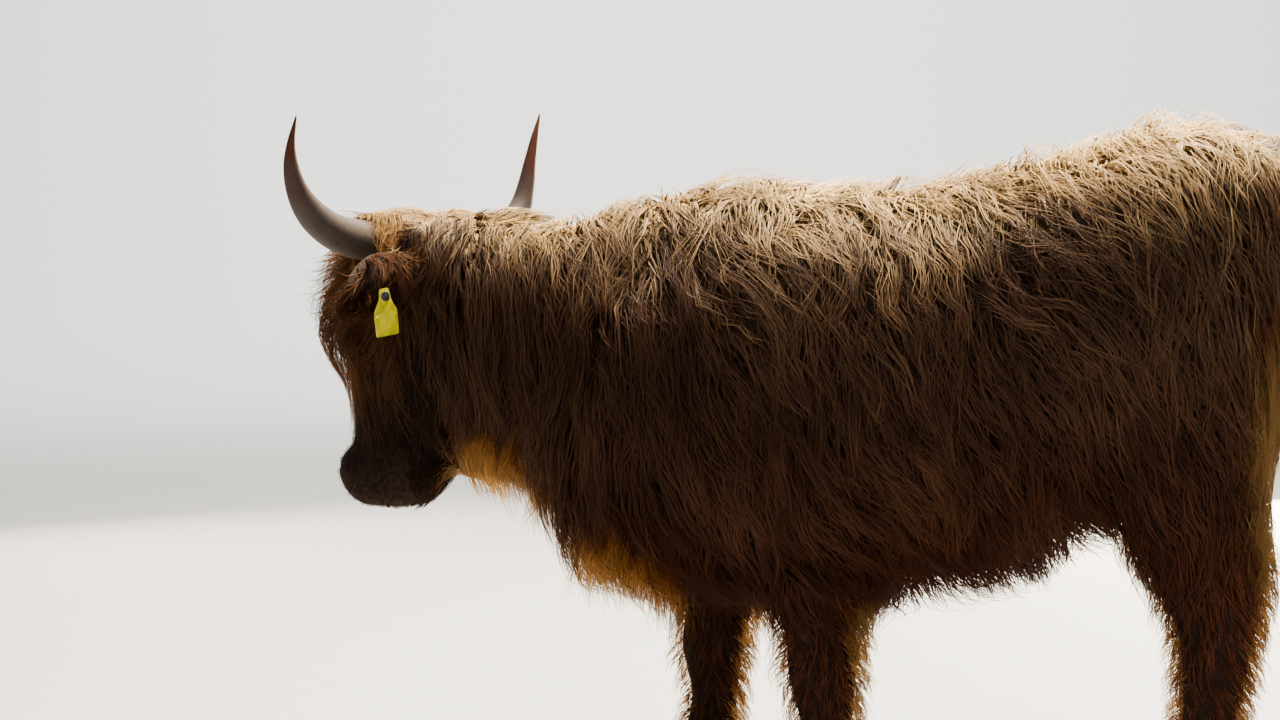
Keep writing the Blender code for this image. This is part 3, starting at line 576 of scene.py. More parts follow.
GUIDE_SPACING, TUFT_UV = 0.024, 0.003
ROOT_SINK, CLEARANCE, STEEPEST_DIVE = 0.002, 0.0015, -0.7
NECK_CROWN, RUMP_CROWN = 1.10, 0.28
SOFTNESS, TAPER, FLATNESS = 0.9, 0.9, 0.34
SPINE_Y = -0.03512
TAG_CLEAR_LOW, TAG_CLEAR_HIGH = (-0.030, -0.068, -0.004), (0.030, 0.013, 0.05)
THROAT_END, LEG_EDGE_TOP = -0.20, 0.95
MARKINGS = ("rise", "across", "tone", "sun", "thin")
# A tint for the lower coat, redder and partly painted shade, and the paler top colour.
LOW_RED_AND_SHADE, PALE = (0.68, 0.43, 0.38, 1.0), (0.90, 0.62, 0.30, 1.0)
# Deep and pale colours of a painted backlit glow on thin edges, and the translucent edge colour.
PAINTED_GLOW_DEEP, PAINTED_GLOW_PALE, EDGE_GLOW = (0.26, 0.066, 0.022), (0.76, 0.46, 0.19), (1.0, 0.80, 0.52, 1.0)

skin_points = read(skin.data.vertices, "co", 3).astype(float)
skin_corners = read(skin.data.loop_triangles, "vertices", 3, np.int32)
skin_loops = read(skin.data.loop_triangles, "loops", 3, np.int32)
skin_uv = read(skin.data.uv_layers["OFBake"].data, "uv", 2)
corner = skin_points[skin_corners]
face_cross = np.cross(corner[:, 1] - corner[:, 0], corner[:, 2] - corner[:, 0])
face_area = np.linalg.norm(face_cross, axis=1) / 2
face_normal = unit(face_cross)
face_middle = corner.mean(1)


def coat_ground(low, step, shape, reach, outside, least, most, rounds):
    """Height above the skin, depth of the coat and outward direction round the skin."""
    height = distance(skin_points, skin_corners, low, step, shape, reach)
    coat_depth = np.clip(height.values - outside.values, least, most)
    return height, Field(low, step, coat_depth).softened(3), height.softened(rounds)


near_outline = distance(outline_points, outline_triangles, head_low, HEAD_STEP, head_shape, 0.12,
                        outline_quads)
body_ground = coat_ground(low_corner, BODY_STEP, grid_shape, 0.16, outline, 0.008, 0.12, 3)
head_ground = coat_ground(head_low, HEAD_STEP, head_shape, 0.12, near_outline, 0.006, 0.11, 2)


def noise(points, scale, seed):
    """Smooth wandering values around 0, mostly within 1, that change over the given length."""
    draw = np.random.default_rng(seed)
    waves = draw.normal(size=(7, 3)) * (math.tau / scale / 1.9)
    return np.sin(points @ waves.T + draw.uniform(0, math.tau, 7)).sum(1) / 2.1


def sow(number, where, seed):
    """Roots on the skin's triangles, spread by area times the given weights: places, normals, map places."""
    draw = np.random.default_rng(seed)
    share = np.cumsum(face_area * where)
    spots = (np.arange(number) + draw.uniform(0, 1, number)) / number * share[-1]
    picked = np.minimum(np.searchsorted(share, spots), len(share) - 1)
    a, b = draw.uniform(0, 1, (2, number))
    flip = a + b > 1
    a[flip], b[flip] = 1 - a[flip], 1 - b[flip]
    weights = np.stack([1 - a - b, a, b], 1)
    places = (corner[picked] * weights[:, :, None]).sum(1)
    spots = (skin_uv[skin_loops[picked]] * weights[:, :, None]).sum(1)
    return places, face_normal[picked], spots


def comb(ground, roots, first, way, length, height, steps, lift):
    """Walks each hair along the lie of the coat. height is the share of the coat's depth reached."""
    skin_distance, coat_depth, normals = ground
    place = roots.copy()
    path, sides, outs = [place], [], []
    step = (length / steps)[:, None]
    for k in range(steps):
        out = normals.slope(place) if k else first
        lie = way(place, out)
        lie = unit(lie - out * np.einsum("ij,ij->i", lie, out)[:, None])
        goal = coat_depth.at(place) * height * min(1.0, (k + 1.5) / (0.6 * steps)) ** 0.8
        pull = np.clip((goal - skin_distance.at(place)) / step[:, 0], STEEPEST_DIVE, lift)
        heading = unit(lie + out * pull[:, None])
        place = place + heading * step
        path.append(place)
        sides.append(unit(np.cross(out, heading)))
        outs.append(out)
    sides.append(sides[-1])
    outs.append(outs[-1])
    return np.stack(path, 1), np.stack(sides, 1), np.stack(outs, 1)


def clear_of_skin(ground, path, least, most):
    """Keeps hairs out of the skin and below the given share of the coat's depth."""
    skin_distance, coat_depth, normals = ground
    for ring in range(1, path.shape[1]):
        place = path[:, ring]
        out = normals.slope(place)
        height = skin_distance.at(place)
        crown = NECK_CROWN + RUMP_CROWN * np.clip((place[:, 0] - 0.10) / 0.25, 0, 1)
        top = coat_depth.at(place) * (most + (crown - most) * np.clip(1.6 * out[:, 2] - 0.5, 0, 1))
        path[:, ring] = place + out * (np.clip(height, least, np.maximum(top, least)) - height)[:, None]
    return path


def growth(ground, region, way, number, seed, length, width, steps, height=(0.5, 0.95),
           waves=(0.006, 0.07), clump=0.65, lift=0.9, spread=0.25, top=1.08, spacing=GUIDE_SPACING,
           tilt=0.2, crimp=0.0015):
    """Tufts grown over a region in waving locks: paths, outward directions, widths, tones, map places."""
    draw = np.random.default_rng(seed)
    roots, first, spots = sow(number, region, seed)
    area = (face_area * region).sum()
    guides = max(8, int(min(number / 2, area / spacing ** 2)))
    seeds, seed_first, _ = sow(guides, region, seed + 1)
    bend = (tilt * noise(seeds, 0.20, seed + 2) + 0.5 * tilt * noise(seeds, 0.06, seed + 5)
            + 0.3 * tilt * draw.normal(size=guides))

    def bent(place, out):
        lie = way(place, out)
        return lie + np.cross(out, lie) * bend[:, None]

    fine = 2 * steps
    long = length(seeds) if callable(length) else np.full(guides, length)
    long = long * (1 + 0.15 * draw.normal(size=guides).clip(-2, 2))
    level = draw.uniform(height[0], height[1], guides)
    path, sides, outs = comb(ground, seeds, seed_first, bent, long, level, fine, lift)
    along = np.arange(fine + 1) / fine
    wave_length = waves[1] * draw.uniform(0.75, 1.35, guides)
    phase = 2.6 * noise(seeds, 0.13, seed + 3) + 0.8 * draw.normal(size=guides)
    swing = waves[0] * draw.uniform(0.3, 1.3, guides)
    turn = long[:, None] * along / wave_length[:, None] * math.tau + phase[:, None]
    sway = (np.sin(turn) - np.sin(phase)[:, None]) * swing[:, None] * along ** 0.6
    path = path + sides * sway[:, :, None]
    path = path + outs * (0.22 * np.cos(turn * 1.07) * swing[:, None] * along)[:, :, None]
    tree = KDTree(guides)
    for k, seed_place in enumerate(seeds):
        tree.insert(seed_place, k)
    tree.balance()
    near_roots = roots + draw.normal(size=(number, 3)) * spacing * 0.2
    nearest = np.array([tree.find(root)[1] for root in near_roots])
    along = np.arange(steps + 1) / steps
    offset = roots - seeds[nearest]
    keep = 1 - clump * along ** 1.1
    stretch = draw.uniform(0.70, 1.0, number)
    stray = draw.normal(size=(number, 3)) * spread
    guide = path[nearest]
    reach = along[None, :] * stretch[:, None] * fine
    low = np.minimum(reach.astype(int), fine - 1)
    part = (reach - low)[:, :, None]
    rows = np.arange(number)[:, None]
    hair = guide[rows, low] * (1 - part) + guide[rows, low + 1] * part
    hair = hair + offset[:, None, :] * keep[None, :, None]
    hair = hair + stray[:, None, :] * (long[nearest] * 0.16)[:, None, None] * (along ** 1.6)[None, :, None]
    ripple = draw.normal(size=(number, steps + 1)) * crimp * np.minimum(1, 3 * along)
    hair = hair + sides[nearest][rows, low] * ripple[:, :, None]
    hair = clear_of_skin(ground, hair, CLEARANCE, top)
    hair[:, 0] = roots - first * ROOT_SINK
    wide = width * draw.uniform(0.6, 1.25, number)
    tone = 0.4 * draw.uniform(0, 1, number) + 0.6 * draw.uniform(0, 1, guides)[nearest]
    return dict(path=hair, out=outs[nearest][rows, low], wide=wide, tone=tone, spot=spots)


def off_the_tag(grown):
    """Leaves out the tufts that would hang over the ear tag."""
    turn = np.array(tag_frame.inverted())
    near = grown["path"] @ turn[:3, :3].T + turn[:3, 3]
    over = ((near > TAG_CLEAR_LOW) & (near < TAG_CLEAR_HIGH)).all(-1).any(1)
    return {key: values[~over] for key, values in grown.items()}


def thinning(place, out):
    """How near the hair is to a thin edge: 1 under the throat and brisket, and on the edges of the legs."""
    fore = np.clip((THROAT_END - place[..., 0]) / 0.12, 0.14, 1)
    low = np.clip((LEG_EDGE_TOP - place[..., 2]) / 0.25, 0, 1)
    under = np.clip((-out[..., 2] - 0.42) / 0.42, 0, 1) * fore
    beside = np.clip((np.abs(out[..., 0]) - 0.66) / 0.28, 0, 1) * low
    return np.maximum(under, beside)


def mark(mesh, name, values):
    """Puts a number or a vector on every point of a mesh, for its material to read."""
    kind, key = ("FLOAT", "value") if values.ndim == 1 else ("FLOAT_VECTOR", "vector")
    mesh.attributes.new(name, kind, "POINT").data.foreach_set(
        key, values.astype(np.float32).reshape(-1))


def tufts(name, grown, material, sunny=1.0, softness=SOFTNESS):
    """One closed mesh of tapering three-sided tufts, with its marking attributes and bake map."""
    path, out, wide = grown["path"], grown["out"], grown["wide"]
    n, rings, _ = path.shape
    steps = rings - 1
    along = np.arange(steps) / steps
    run = unit(np.gradient(path, axis=1))
    side = unit(np.cross(run, out))
    top = np.cross(side, run)
    shape = np.minimum(1.0, 0.55 + 2.2 * along) * (1 - along ** 1.9) ** TAPER
    half = (wide[:, None] * shape / 2)[:, :, None]
    soft, beside, above = out[:, :steps] * softness, side[:, :steps], top[:, :steps]
    bends = np.stack([soft + beside * 0.7 - above * 0.1, soft - beside * 0.7 - above * 0.1,
                      soft + above], 2).reshape(n, steps * 3, 3)
    ends = unit(out[:, steps:] * softness + top[:, steps:])
    bends = unit(np.concatenate([bends, ends], 1)).reshape(-1, 3)
    low = path[:, :steps] - above * half * FLATNESS * 0.6
    left, right = low + beside * half, low - beside * half
    ridge = path[:, :steps] + above * half * FLATNESS * 1.4
    body = np.stack([left, right, ridge], 2).reshape(n, steps * 3, 3)
    points = np.concatenate([body, path[:, steps:]], 1)
    per = steps * 3 + 1
    sides = ((0, 1), (1, 2), (2, 0))
    quads = [(3 * k + a, 3 * k + b, 3 * k + 3 + b, 3 * k + 3 + a) for k in range(steps - 1) for a, b in sides]
    tips = [(3 * steps - 3 + a, 3 * steps - 3 + b, 3 * steps) for a, b in sides] + [(0, 2, 1)]
    base = np.arange(n)[:, None, None] * per
    quads, tips = np.array(quads) + base, np.array(tips) + base
    corners = np.concatenate([quads.reshape(n, -1), tips.reshape(n, -1)], 1)
    sizes = np.tile([4] * quads.shape[1] + [3] * tips.shape[1], n)
    starts = np.concatenate([[0], np.cumsum(sizes)[:-1]])
    mesh = bpy.data.meshes.new(name)
    mesh.vertices.add(n * per)
    mesh.vertices.foreach_set("co", points.astype(np.float32).reshape(-1))
    mesh.loops.add(corners.size)
    mesh.loops.foreach_set("vertex_index", corners.astype(np.int32).reshape(-1))
    mesh.polygons.add(len(sizes))
    mesh.polygons.foreach_set("loop_start", starts.astype(np.int32))
    mesh.update(calc_edges=True)
    mesh.shade_smooth()
    mesh.normals_split_custom_set_from_vertices(bends.astype(np.float32))
    sun, thin = (np.concatenate([np.repeat(values[:, :steps], 3, axis=1), values[:, steps:]], 1).reshape(-1)
                 for values in (out[:, :, 2] * sunny, thinning(path, out)))
    place = np.concatenate([np.repeat(along, 3), [1.0]])
    across = np.concatenate([np.tile([0.0, 1.0, 0.5], steps), [0.5]])
    for key, values in zip(MARKINGS, (np.tile(place, n), np.tile(across, n), np.repeat(grown["tone"], per),
                                      sun, thin)):
        mark(mesh, key, values)
    patch = np.stack([np.tile(across, n), np.tile(place, n)], 1).reshape(n, per, 2) - 0.5
    patch = (grown["spot"][:, None, :] + patch * TUFT_UV).reshape(-1, 2)
    mesh.uv_layers.new(name="OFBake").data.foreach_set(
        "uv", patch[corners.reshape(-1)].astype(np.float32).reshape(-1))
    piece = bpy.data.objects.new(name, mesh)
    bpy.context.scene.collection.objects.link(piece)
    mesh.materials.append(material)
    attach(piece, "root")


def coat(name, hair, ground, region, way, number, seed, length, width, steps, slot="coat", sunny=1.0,
         softness=SOFTNESS, **shape):
    """One piece of the coat, grown over a region and kept off the ear tag."""
    grown = growth(ground, region * 1.0, way, number, seed, length, width, steps, **shape)
    tufts(name, off_the_tag(grown), hair, sunny, softness)


def coat_material(name, stops, glow, share, along=(-0.6, 0.7, 0.70, 1.15), gloss=0.16, edge=1.0):
    """Hair: darker at the root, streaked along each tuft, paler where it faces the sky (partly bleached
    tips, partly painted top light), with painted shade along the body and a painted glow on thin
    edges, and letting light through, most of all where it is thin."""
    hair = Paint(name, stops[1], 0.55, Specular_IOR_Level=gloss)
    place = hair.place()
    length, height = hair.axis(place, "X"), hair.axis(place, "Z")
    rise, across, tone, sun, thin = (hair.marking(key) for key in MARKINGS)
    streak = hair.vector(hair.sums((across, 7.0)), hair.sums((rise, 5.0)), hair.sums((tone, 60.0)))
    fine, broad = hair.noise(streak, 1.0), hair.noise(place, 4.0, 3.0)
    mixed = hair.sums((tone, 0.30), (fine, 0.46), (broad, 0.30), (rise, 0.22))
    colour = hair.ramp(mixed, tuple(zip((0.34, 0.60, 0.95), stops)))
    # Lower down the coat turns redder and darker: partly its own redder hair, partly painted shade.
    low_red_and_shade = hair.spread(hair.sums((height, 1.0), (broad, 0.4)), 0.66, 1.20)
    colour = hair.mix(low_red_and_shade, hair.mix(1.0, colour, LOW_RED_AND_SHADE, "MULTIPLY"), colour)
    # Painted shade and light along the body: each coat is darker or lighter from head to rump by the last
    # numbers of along.
    painted_shade = hair.spread(length, *along)
    colour = hair.mix(1.0, colour, hair.vector(painted_shade, painted_shade, painted_shade), "MULTIPLY")
    # Paler where it faces the sky and towards the rump: partly bleached tips, partly painted top light.
    rearward = hair.spread(length, -0.25, 0.75, -0.05, 0.24)
    bleach_and_top_light = hair.spread(hair.sums((sun, 1.0), (fine, 0.4), (tone, 0.42), (broad, 0.6), (rearward, 1.0)),
                         1.31, 1.92)
    colour = hair.mix(bleach_and_top_light, colour, PALE)
    low = hair.spread(hair.sums((thin, 1.0), (tone, -0.20)), 0.05, 0.85, 0.0, edge)
    # Thin edges under the throat and brisket and on the legs are painted paler, a painted backlit glow.
    colour = hair.mix(hair.sums((low, 0.85)), colour, hair.ramp(low, ((0.2, PAINTED_GLOW_DEEP), (0.95, PAINTED_GLOW_PALE))))
    hair.feed(colour)
    lit = hair.mix(hair.spread(bleach_and_top_light, 0.0, 1.0, 0.55, 0.12), colour, (*glow, 1.0))
    lit = hair.mix(low, lit, EDGE_GLOW)
    both = hair.add("MixShader", {0: hair.spread(low, 0.0, 1.0, share, 0.86), 1: hair.shader.outputs[0],
                                  2: hair.add("BsdfTranslucent", {"Color": lit})})
    hair.tree.links.new(both, hair.tree.nodes["Material Output"].inputs["Surface"])
    return hair.material


EVEN = (-0.6, 0.7, 1.0, 1.0)  # no change of shade along the body
# name, colours from dark to pale, glow, share let through, painted shade from head to rump
ginger = coat_material(
    "ginger_coat", ((0.022, 0.012, 0.008), (0.086, 0.046, 0.026), (0.25, 0.142, 0.072)),
    (0.80, 0.34, 0.12), 0.28)
# The face hair is darker than the body's: partly its own tone, partly painted shade.
dusky = coat_material(
    "face_ginger", ((0.014, 0.010, 0.009), (0.042, 0.029, 0.023), (0.100, 0.069, 0.049)),
    (0.45, 0.24, 0.15), 0.08, gloss=0.05, edge=0.08)
# The forelock is painted light at its front edge and painted shade on the sides of the face.
golden = coat_material(
    "forelock_ginger", ((0.050, 0.024, 0.013), (0.235, 0.120, 0.055), (0.46, 0.27, 0.12)),
    (0.95, 0.42, 0.12), 0.46, (-0.87, -0.80, 1.5, 0.38), edge=0.25)
# The fringe's pale colours are partly a painted backlit glow, over its translucency.
glowing = coat_material(
    "fringe_painted_glow", ((0.18, 0.080, 0.032), (0.54, 0.28, 0.11), (0.84, 0.56, 0.25)),
    (1.0, 0.80, 0.48), 0.88, (-0.6, 0.7, 1.0, 0.8))
feathery = coat_material(
    "leg_feather", ((0.05, 0.024, 0.013), (0.17, 0.082, 0.040), (0.36, 0.20, 0.10)),
    (1.0, 0.68, 0.34), 0.74, (-0.6, 0.7, 1.0, 0.9))
leggy = coat_material(
    "leg_ginger", ((0.032, 0.017, 0.010), (0.140, 0.072, 0.040), (0.34, 0.185, 0.090)),
    (0.85, 0.40, 0.15), 0.30)
tawny = coat_material(
    "ear_ginger", ((0.030, 0.017, 0.011), (0.110, 0.060, 0.035), (0.25, 0.15, 0.085)),
    (0.95, 0.52, 0.24), 0.38, EVEN, gloss=0.05, edge=0.0)
straw = coat_material(
    "poll_straw", ((0.10, 0.052, 0.026), (0.36, 0.205, 0.095), (0.62, 0.40, 0.19)),
    (1.0, 0.66, 0.32), 0.58, EVEN, gloss=0.08)

EAR_REACH, FORELEG_TOP, HINDLEG_TOP = 0.066, 0.42, 0.50
outside = face_middle + face_normal * (0.7 * body_ground[1].at(face_middle))[:, None]
cells = np.round((outside - low_corner) / BODY_STEP).astype(int).clip(0, np.array(grid_shape) - 1)
part = np.array(FLESH)[owner[cells[:, 0], cells[:, 1], cells[:, 2]]]
ear_line = np.array([on_head(row[2], side * row[0], row[1])
                     for side in (1, -1) for row in spline(EAR_ROWS, 3)])
from_ear = np.linalg.norm(face_middle[:, None, :] - ear_line[None], axis=2).min(1)
ahead, aside, drop = head_place(*face_middle.T)
aside = np.abs(aside)
on_ear = (from_ear < EAR_REACH) & (aside > 0.098) & (drop < 0.17)
on_fore, on_hind = (np.char.startswith(part, leg) for leg in ("foreleg", "hindleg"))
on_trunk = (np.isin(part, ["trunk", "neck"]) | (on_fore & (face_middle[:, 2] > FORELEG_TOP))
            | (on_hind & (face_middle[:, 2] > HINDLEG_TOP))) & ~on_ear
on_face = (part == "head") & ~on_ear


# ---- Body coat ------------------------------------------------------------------
# Long wavy outer coat over neck, shoulders, ribs and rump, parted along the spine
# and hanging down both sides, over a shorter dense undercoat. Hair, set in locks.

NECK_LINE = np.array(((-0.73, 0.055), (-0.60, 0.025), (-0.50, 0.003), (-0.41, -0.015), (-0.30, -0.030),
                      (-0.15, SPINE_Y)))
REARWARD = np.array(((-0.7, 0.10), (-0.45, 0.12), (-0.25, 0.25), (0.0, 0.42), (0.3, 0.42), (0.6, 0.30),
                     (0.75, 0.2)))
FRINGE_END = -0.24


def parting(place):
    """Where the parting along the spine runs, beside each place."""
    return np.interp(place[:, 0], *NECK_LINE.T)


def body_lie(place, out):
    """Down both sides of the spine parting, drawn rearwards over the ribs."""
    side = np.tanh((place[:, 1] - parting(place)) / 0.03)
    top = np.clip(out[:, 2], 0, 1)
    rear = np.interp(place[:, 0], *REARWARD.T)
    return np.stack([rear + 0.45 * top, 1.2 * side * top, 0 * top - 1.0], 1)


def hanging_lie(rearward):
    """Straight down, swept a little back."""
    return lambda place, out: np.tile((rearward, 0.0, -1.0), (len(place), 1))


def body_length(place):
    low = np.clip((0.70 - place[:, 2]) / 0.30, 0, 1)
    front = np.clip((-0.05 - place[:, 0]) / 0.3, 0, 1)
    return 0.19 + 0.045 * front - 0.105 * low


for near, label in ((1, "near"), (0, "far")):
    here = on_trunk & ((face_middle[:, 1] < parting(face_middle)) == near)
    half = here * (1.0 - 0.55 * np.clip(-2 * face_normal[:, 2] - 0.3, 0, 1))
    coat("undercoat_" + label, ginger, body_ground, half, body_lie, 4000, 11 + near, 0.080, 0.0085, 2,
         height=(0.2, 0.5), waves=(0.004, 0.07), lift=1.2)
    coat("midcoat_" + label, ginger, body_ground, half, body_lie, 4600, 15 + near, 0.115, 0.0036, 3,
         height=(0.4, 0.85), lift=1.1, tilt=0.28)
    for place, low_x, high_x, number, seed, tall in (
            ("neck", -9, -0.12, 3200, 21, 1.10), ("ribs", -0.12, 0.32, 3000, 31, 1.20),
            ("rump", 0.32, 9, 2400, 41, 1.38)):
        mask = (face_middle[:, 0] > low_x) & (face_middle[:, 0] <= high_x)
        coat(f"coat_{place}_{label}", ginger, body_ground, half * mask, body_lie, number, seed + 2 * near,
             body_length, 0.0027, 5, height=(0.75, tall), waves=(0.013, 0.120), tilt=0.34, clump=0.62,
             spacing=0.028, crimp=0.0014)
    hanging, front = here & (face_normal[:, 2] < -0.55), face_middle[:, 0] < FRINGE_END
    for name, hair, mask, number, tall, top, softness in (
            ("fringe_", glowing, front, 2000, 2.0, 2.1, 0.15),
            ("belly_hair_", ginger, ~front, 1000, 1.3, 1.35, SOFTNESS)):
        coat(name + label, hair, body_ground, hanging & mask, hanging_lie(0.5), number, 87 + near,
             0.130, 0.0021, 3, softness=softness, height=(0.8, tall), waves=(0.008, 0.07), tilt=0.4,
             clump=0.45, spacing=0.022, top=top, lift=2.5, spread=0.5)
    coat("wisps_" + label, ginger, body_ground, half, body_lie, 2200, 81 + near, 0.10, 0.0012, 2,
         height=(0.9, 1.3), waves=(0.010, 0.08), tilt=0.6, clump=0.2, spacing=0.016, top=1.4, spread=0.6,
         lift=1.3)


# ---- Leg and tail coat ----------------------------------------------------------
# Shorter straight hair on the legs with feathering on their front and back edges,
# and the tail with its long switch. Hair, set in small locks close to the skin.


def leg_lie(place, out):
    behind = np.clip(out[:, 0], 0, 1)
    return np.stack([0.15 + 0.35 * behind, 0 * behind, 0 * behind - 1], 1)


def leg_length(shortest):
    return lambda place: shortest + 0.03 * np.clip((place[:, 2] - 0.3) / 0.3, 0, 1)


for near, label, side in ((1, "near", "left"), (0, "far", "right")):
    mask = np.isin(part, ["foreleg_" + side, "hindleg_" + side])
    mask &= face_middle[:, 2] < np.where(on_fore, FORELEG_TOP + 0.04, HINDLEG_TOP + 0.06)
    coat("coat_legs_" + label, leggy, body_ground, mask * (1.0 + 0.8 * np.clip(face_normal[:, 0], 0, 1)),
         leg_lie, 5400, 51 + near, leg_length(0.045), 0.0028, 2, softness=0.5, height=(0.45, 1.15),
         waves=(0.003, 0.05), top=1.3, spacing=0.018, lift=1.2)
    coat("feather_" + label, feathery, body_ground, mask * np.clip(np.abs(face_normal[:, 0]) - 0.35, 0, 1),
         leg_lie, 1500, 55 + near, leg_length(0.060), 0.0022, 3, softness=0.15, height=(0.9, 1.4),
         waves=(0.005, 0.05), top=1.5, spacing=0.018, lift=2.0, spread=0.4)
coat("coat_tail", ginger, body_ground, part == "tail", hanging_lie(0.05), 1500, 61, 0.07, 0.0045, 3,
     height=(0.4, 1.0), spacing=0.02)
coat("tail_switch_hair", ginger, body_ground, part == "tail_switch", hanging_lie(0.05), 1300, 63, 0.15,
     0.0042, 6, slot="tail_hair", height=(0.4, 1.1), waves=(0.007, 0.08), spacing=0.02)


# ---- Face, forelock and ear hair ------------------------------------------------
# Close dusky hair on the face, longer on cheeks and jaw, a long forelock combed over
# the brow, poll hair laid back over the neck, and ears fringed with loose long hair.
# Natural hair, set lock by lock in the skin.

BROW_DROP, POLL_DROP, POLL_START = 0.115, 0.075, -0.045
DOWN = np.array((0.0, 0.0, -1.0))


def head_lie(ahead, left):
    """Down, turned ahead and left by what each rule gives for a place and its outward direction."""
    def lie(place, out):
        top, (forward, beside, drop) = np.clip(out[:, 2], 0, 1), head_place(*place.T)
        return (AHEAD * np.broadcast_to(ahead(top, forward, drop), len(place))[:, None]
                + LEFT * np.broadcast_to(left(top, beside), len(place))[:, None] + DOWN)
    return lie


def eye_range(ahead, aside, drop):
    """Distance from the middle of the nearer eye's opening."""
    return np.sqrt((ahead - EYE[0] - 0.002) ** 2 + (aside - EYE[1] - 0.012) ** 2 + (drop - EYE[2]) ** 2)


def face_rearward(top, forward, drop):
    return -0.25 - 0.5 * np.clip((drop - 0.1) / 0.2, 0, 1) * np.clip(-forward / 0.1 + 0.3, 0, 1)


def face_length(place):
    return 0.020 - 0.011 * np.clip((HORN_LINE[2] - place[:, 2] - 0.30) / 0.08, 0, 1)


from_eye = eye_range(ahead, aside, drop)
nose_pad = (ahead > 0.112) & (drop > 0.385) & (drop < 0.452) & (aside < 0.052)
eye_bare = from_eye < 0.021
front_top = on_face & (drop < BROW_DROP) & (ahead > POLL_START)
poll = on_face & (drop < POLL_DROP) & (ahead <= POLL_START)
cheek = on_face & ~front_top & ~poll & (ahead < 0.045) & (drop < 0.34)
close = on_face & ~nose_pad & ~eye_bare & ~front_top & ~poll
temple = on_face & (drop < 0.165) & (aside > 0.045) & (ahead > -0.075) & ~eye_bare
beard = on_face & (ahead < -0.005) & (drop > 0.27)

face_lie = head_lie(face_rearward, lambda top, beside: 0.0)
poll_lie = head_lie(lambda top, forward, drop: -0.9 * top,
                    lambda top, beside: 0.8 * np.tanh(beside / 0.03) * top)
forelock_lie = head_lie(lambda top, forward, drop: 0.2 + 1.5 * top,
                        lambda top, beside: 0.18 * np.tanh(beside / 0.06))
temple_lie = head_lie(lambda top, forward, drop: 0.30, lambda top, beside: 0.35 * np.sign(beside))
ear_lie = head_lie(lambda top, forward, drop: -0.15, lambda top, beside: 0.45 * np.sign(beside))

coat("coat_face", dusky, head_ground, close, face_lie, 7000, 71, face_length, 0.0017, 2,
     height=(0.4, 0.9), waves=(0.0006, 0.03), spacing=0.012, spread=0.2, crimp=0.0)
coat("coat_cheeks", dusky, head_ground, cheek, face_lie, 2400, 73, 0.050, 0.0024, 3,
     height=(0.6, 1.3), waves=(0.003, 0.05), spacing=0.014, top=1.6)
coat("coat_jaw", dusky, head_ground, beard, face_lie, 1500, 95, 0.070, 0.0020, 3,
     height=(0.6, 1.4), waves=(0.005, 0.05), spacing=0.014, top=1.7, lift=1.5, spread=0.5)
coat("coat_poll", ginger, head_ground, poll, poll_lie, 2100, 75, 0.15, 0.0028, 5,
     height=(0.6, 1.4), waves=(0.009, 0.08), spacing=0.016, top=1.6)
coat("coat_forelock", golden, head_ground, front_top, forelock_lie, 2600, 77, 0.27, 0.0031, 6,
     height=(0.20, 1.05), waves=(0.010, 0.09), spacing=0.018, top=1.10, lift=1.2, tilt=0.3)
coat("forelock_fluff", golden, head_ground, front_top, forelock_lie, 3000, 85, 0.15, 0.0020, 3,
     height=(0.7, 1.1), waves=(0.010, 0.07), spacing=0.014, top=1.2, lift=1.3, tilt=0.6, spread=0.6,
     clump=0.25)
coat("coat_temples", tawny, head_ground, temple, temple_lie, 1400, 97, 0.105, 0.0024, 4, softness=0.5,
     height=(0.8, 2.4), waves=(0.009, 0.06), spacing=0.014, top=2.8, tilt=0.5, clump=0.45, lift=1.6,
     spread=0.6)
coat("coat_ears", tawny, head_ground, on_ear, ear_lie, 3400, 79, 0.088, 0.0023, 3, sunny=0.30, softness=0.25,
     height=(1.0, 4.2), waves=(0.008, 0.05), spacing=0.011, top=5.0, tilt=0.8, clump=0.45, lift=1.8,
     spread=0.7)
coat("ear_wisps", golden, head_ground, on_ear, ear_lie, 700, 83, 0.070, 0.0013, 3, sunny=0.8,
     height=(2.2, 4.4), waves=(0.012, 0.05), spacing=0.011, top=5.0, tilt=1.0, clump=0.5, lift=1.8,
     spread=0.6)


# ---- Hair round the horns --------------------------------------------------------
# Long pale poll hair that wraps the roots of both horns and falls behind them. It is
# set in the skin beside each horn and follows the run of the sheath.

HORN_BASE_RADIUS = 0.0335
HORN_PATH = [  # left, rise, ahead, share of the base radius
    (0.040, 0.004, -0.006, 1.0), (0.105, -0.002, 0.0, 1.0), (0.163, 0.002, 0.002, 0.94),
    (0.219, 0.020, 0.003, 0.84), (0.266, 0.049, 0.001, 0.70), (0.297, 0.084, -0.002, 0.54),
    (0.314, 0.122, -0.006, 0.37), (0.319, 0.160, -0.012, 0.20), (0.316, 0.203, -0.022, 0.035)]
FAR_HORN_PATH = [  # the other horn turns up further out and rises straighter and slimmer
    (0.040, 0.004, -0.006, 1.0), (0.105, -0.004, 0.0, 1.0), (0.165, -0.006, 0.002, 0.93),
    (0.222, 0.0, 0.003, 0.82), (0.264, 0.018, 0.001, 0.69), (0.285, 0.044, -0.001, 0.58),
    (0.297, 0.080, -0.004, 0.45), (0.305, 0.118, -0.007, 0.32), (0.315, 0.158, -0.010, 0.20),
    (0.3276, 0.203, -0.0145, 0.035)]
COLLAR_TUFTS, COLLAR_STEPS = 700, 4

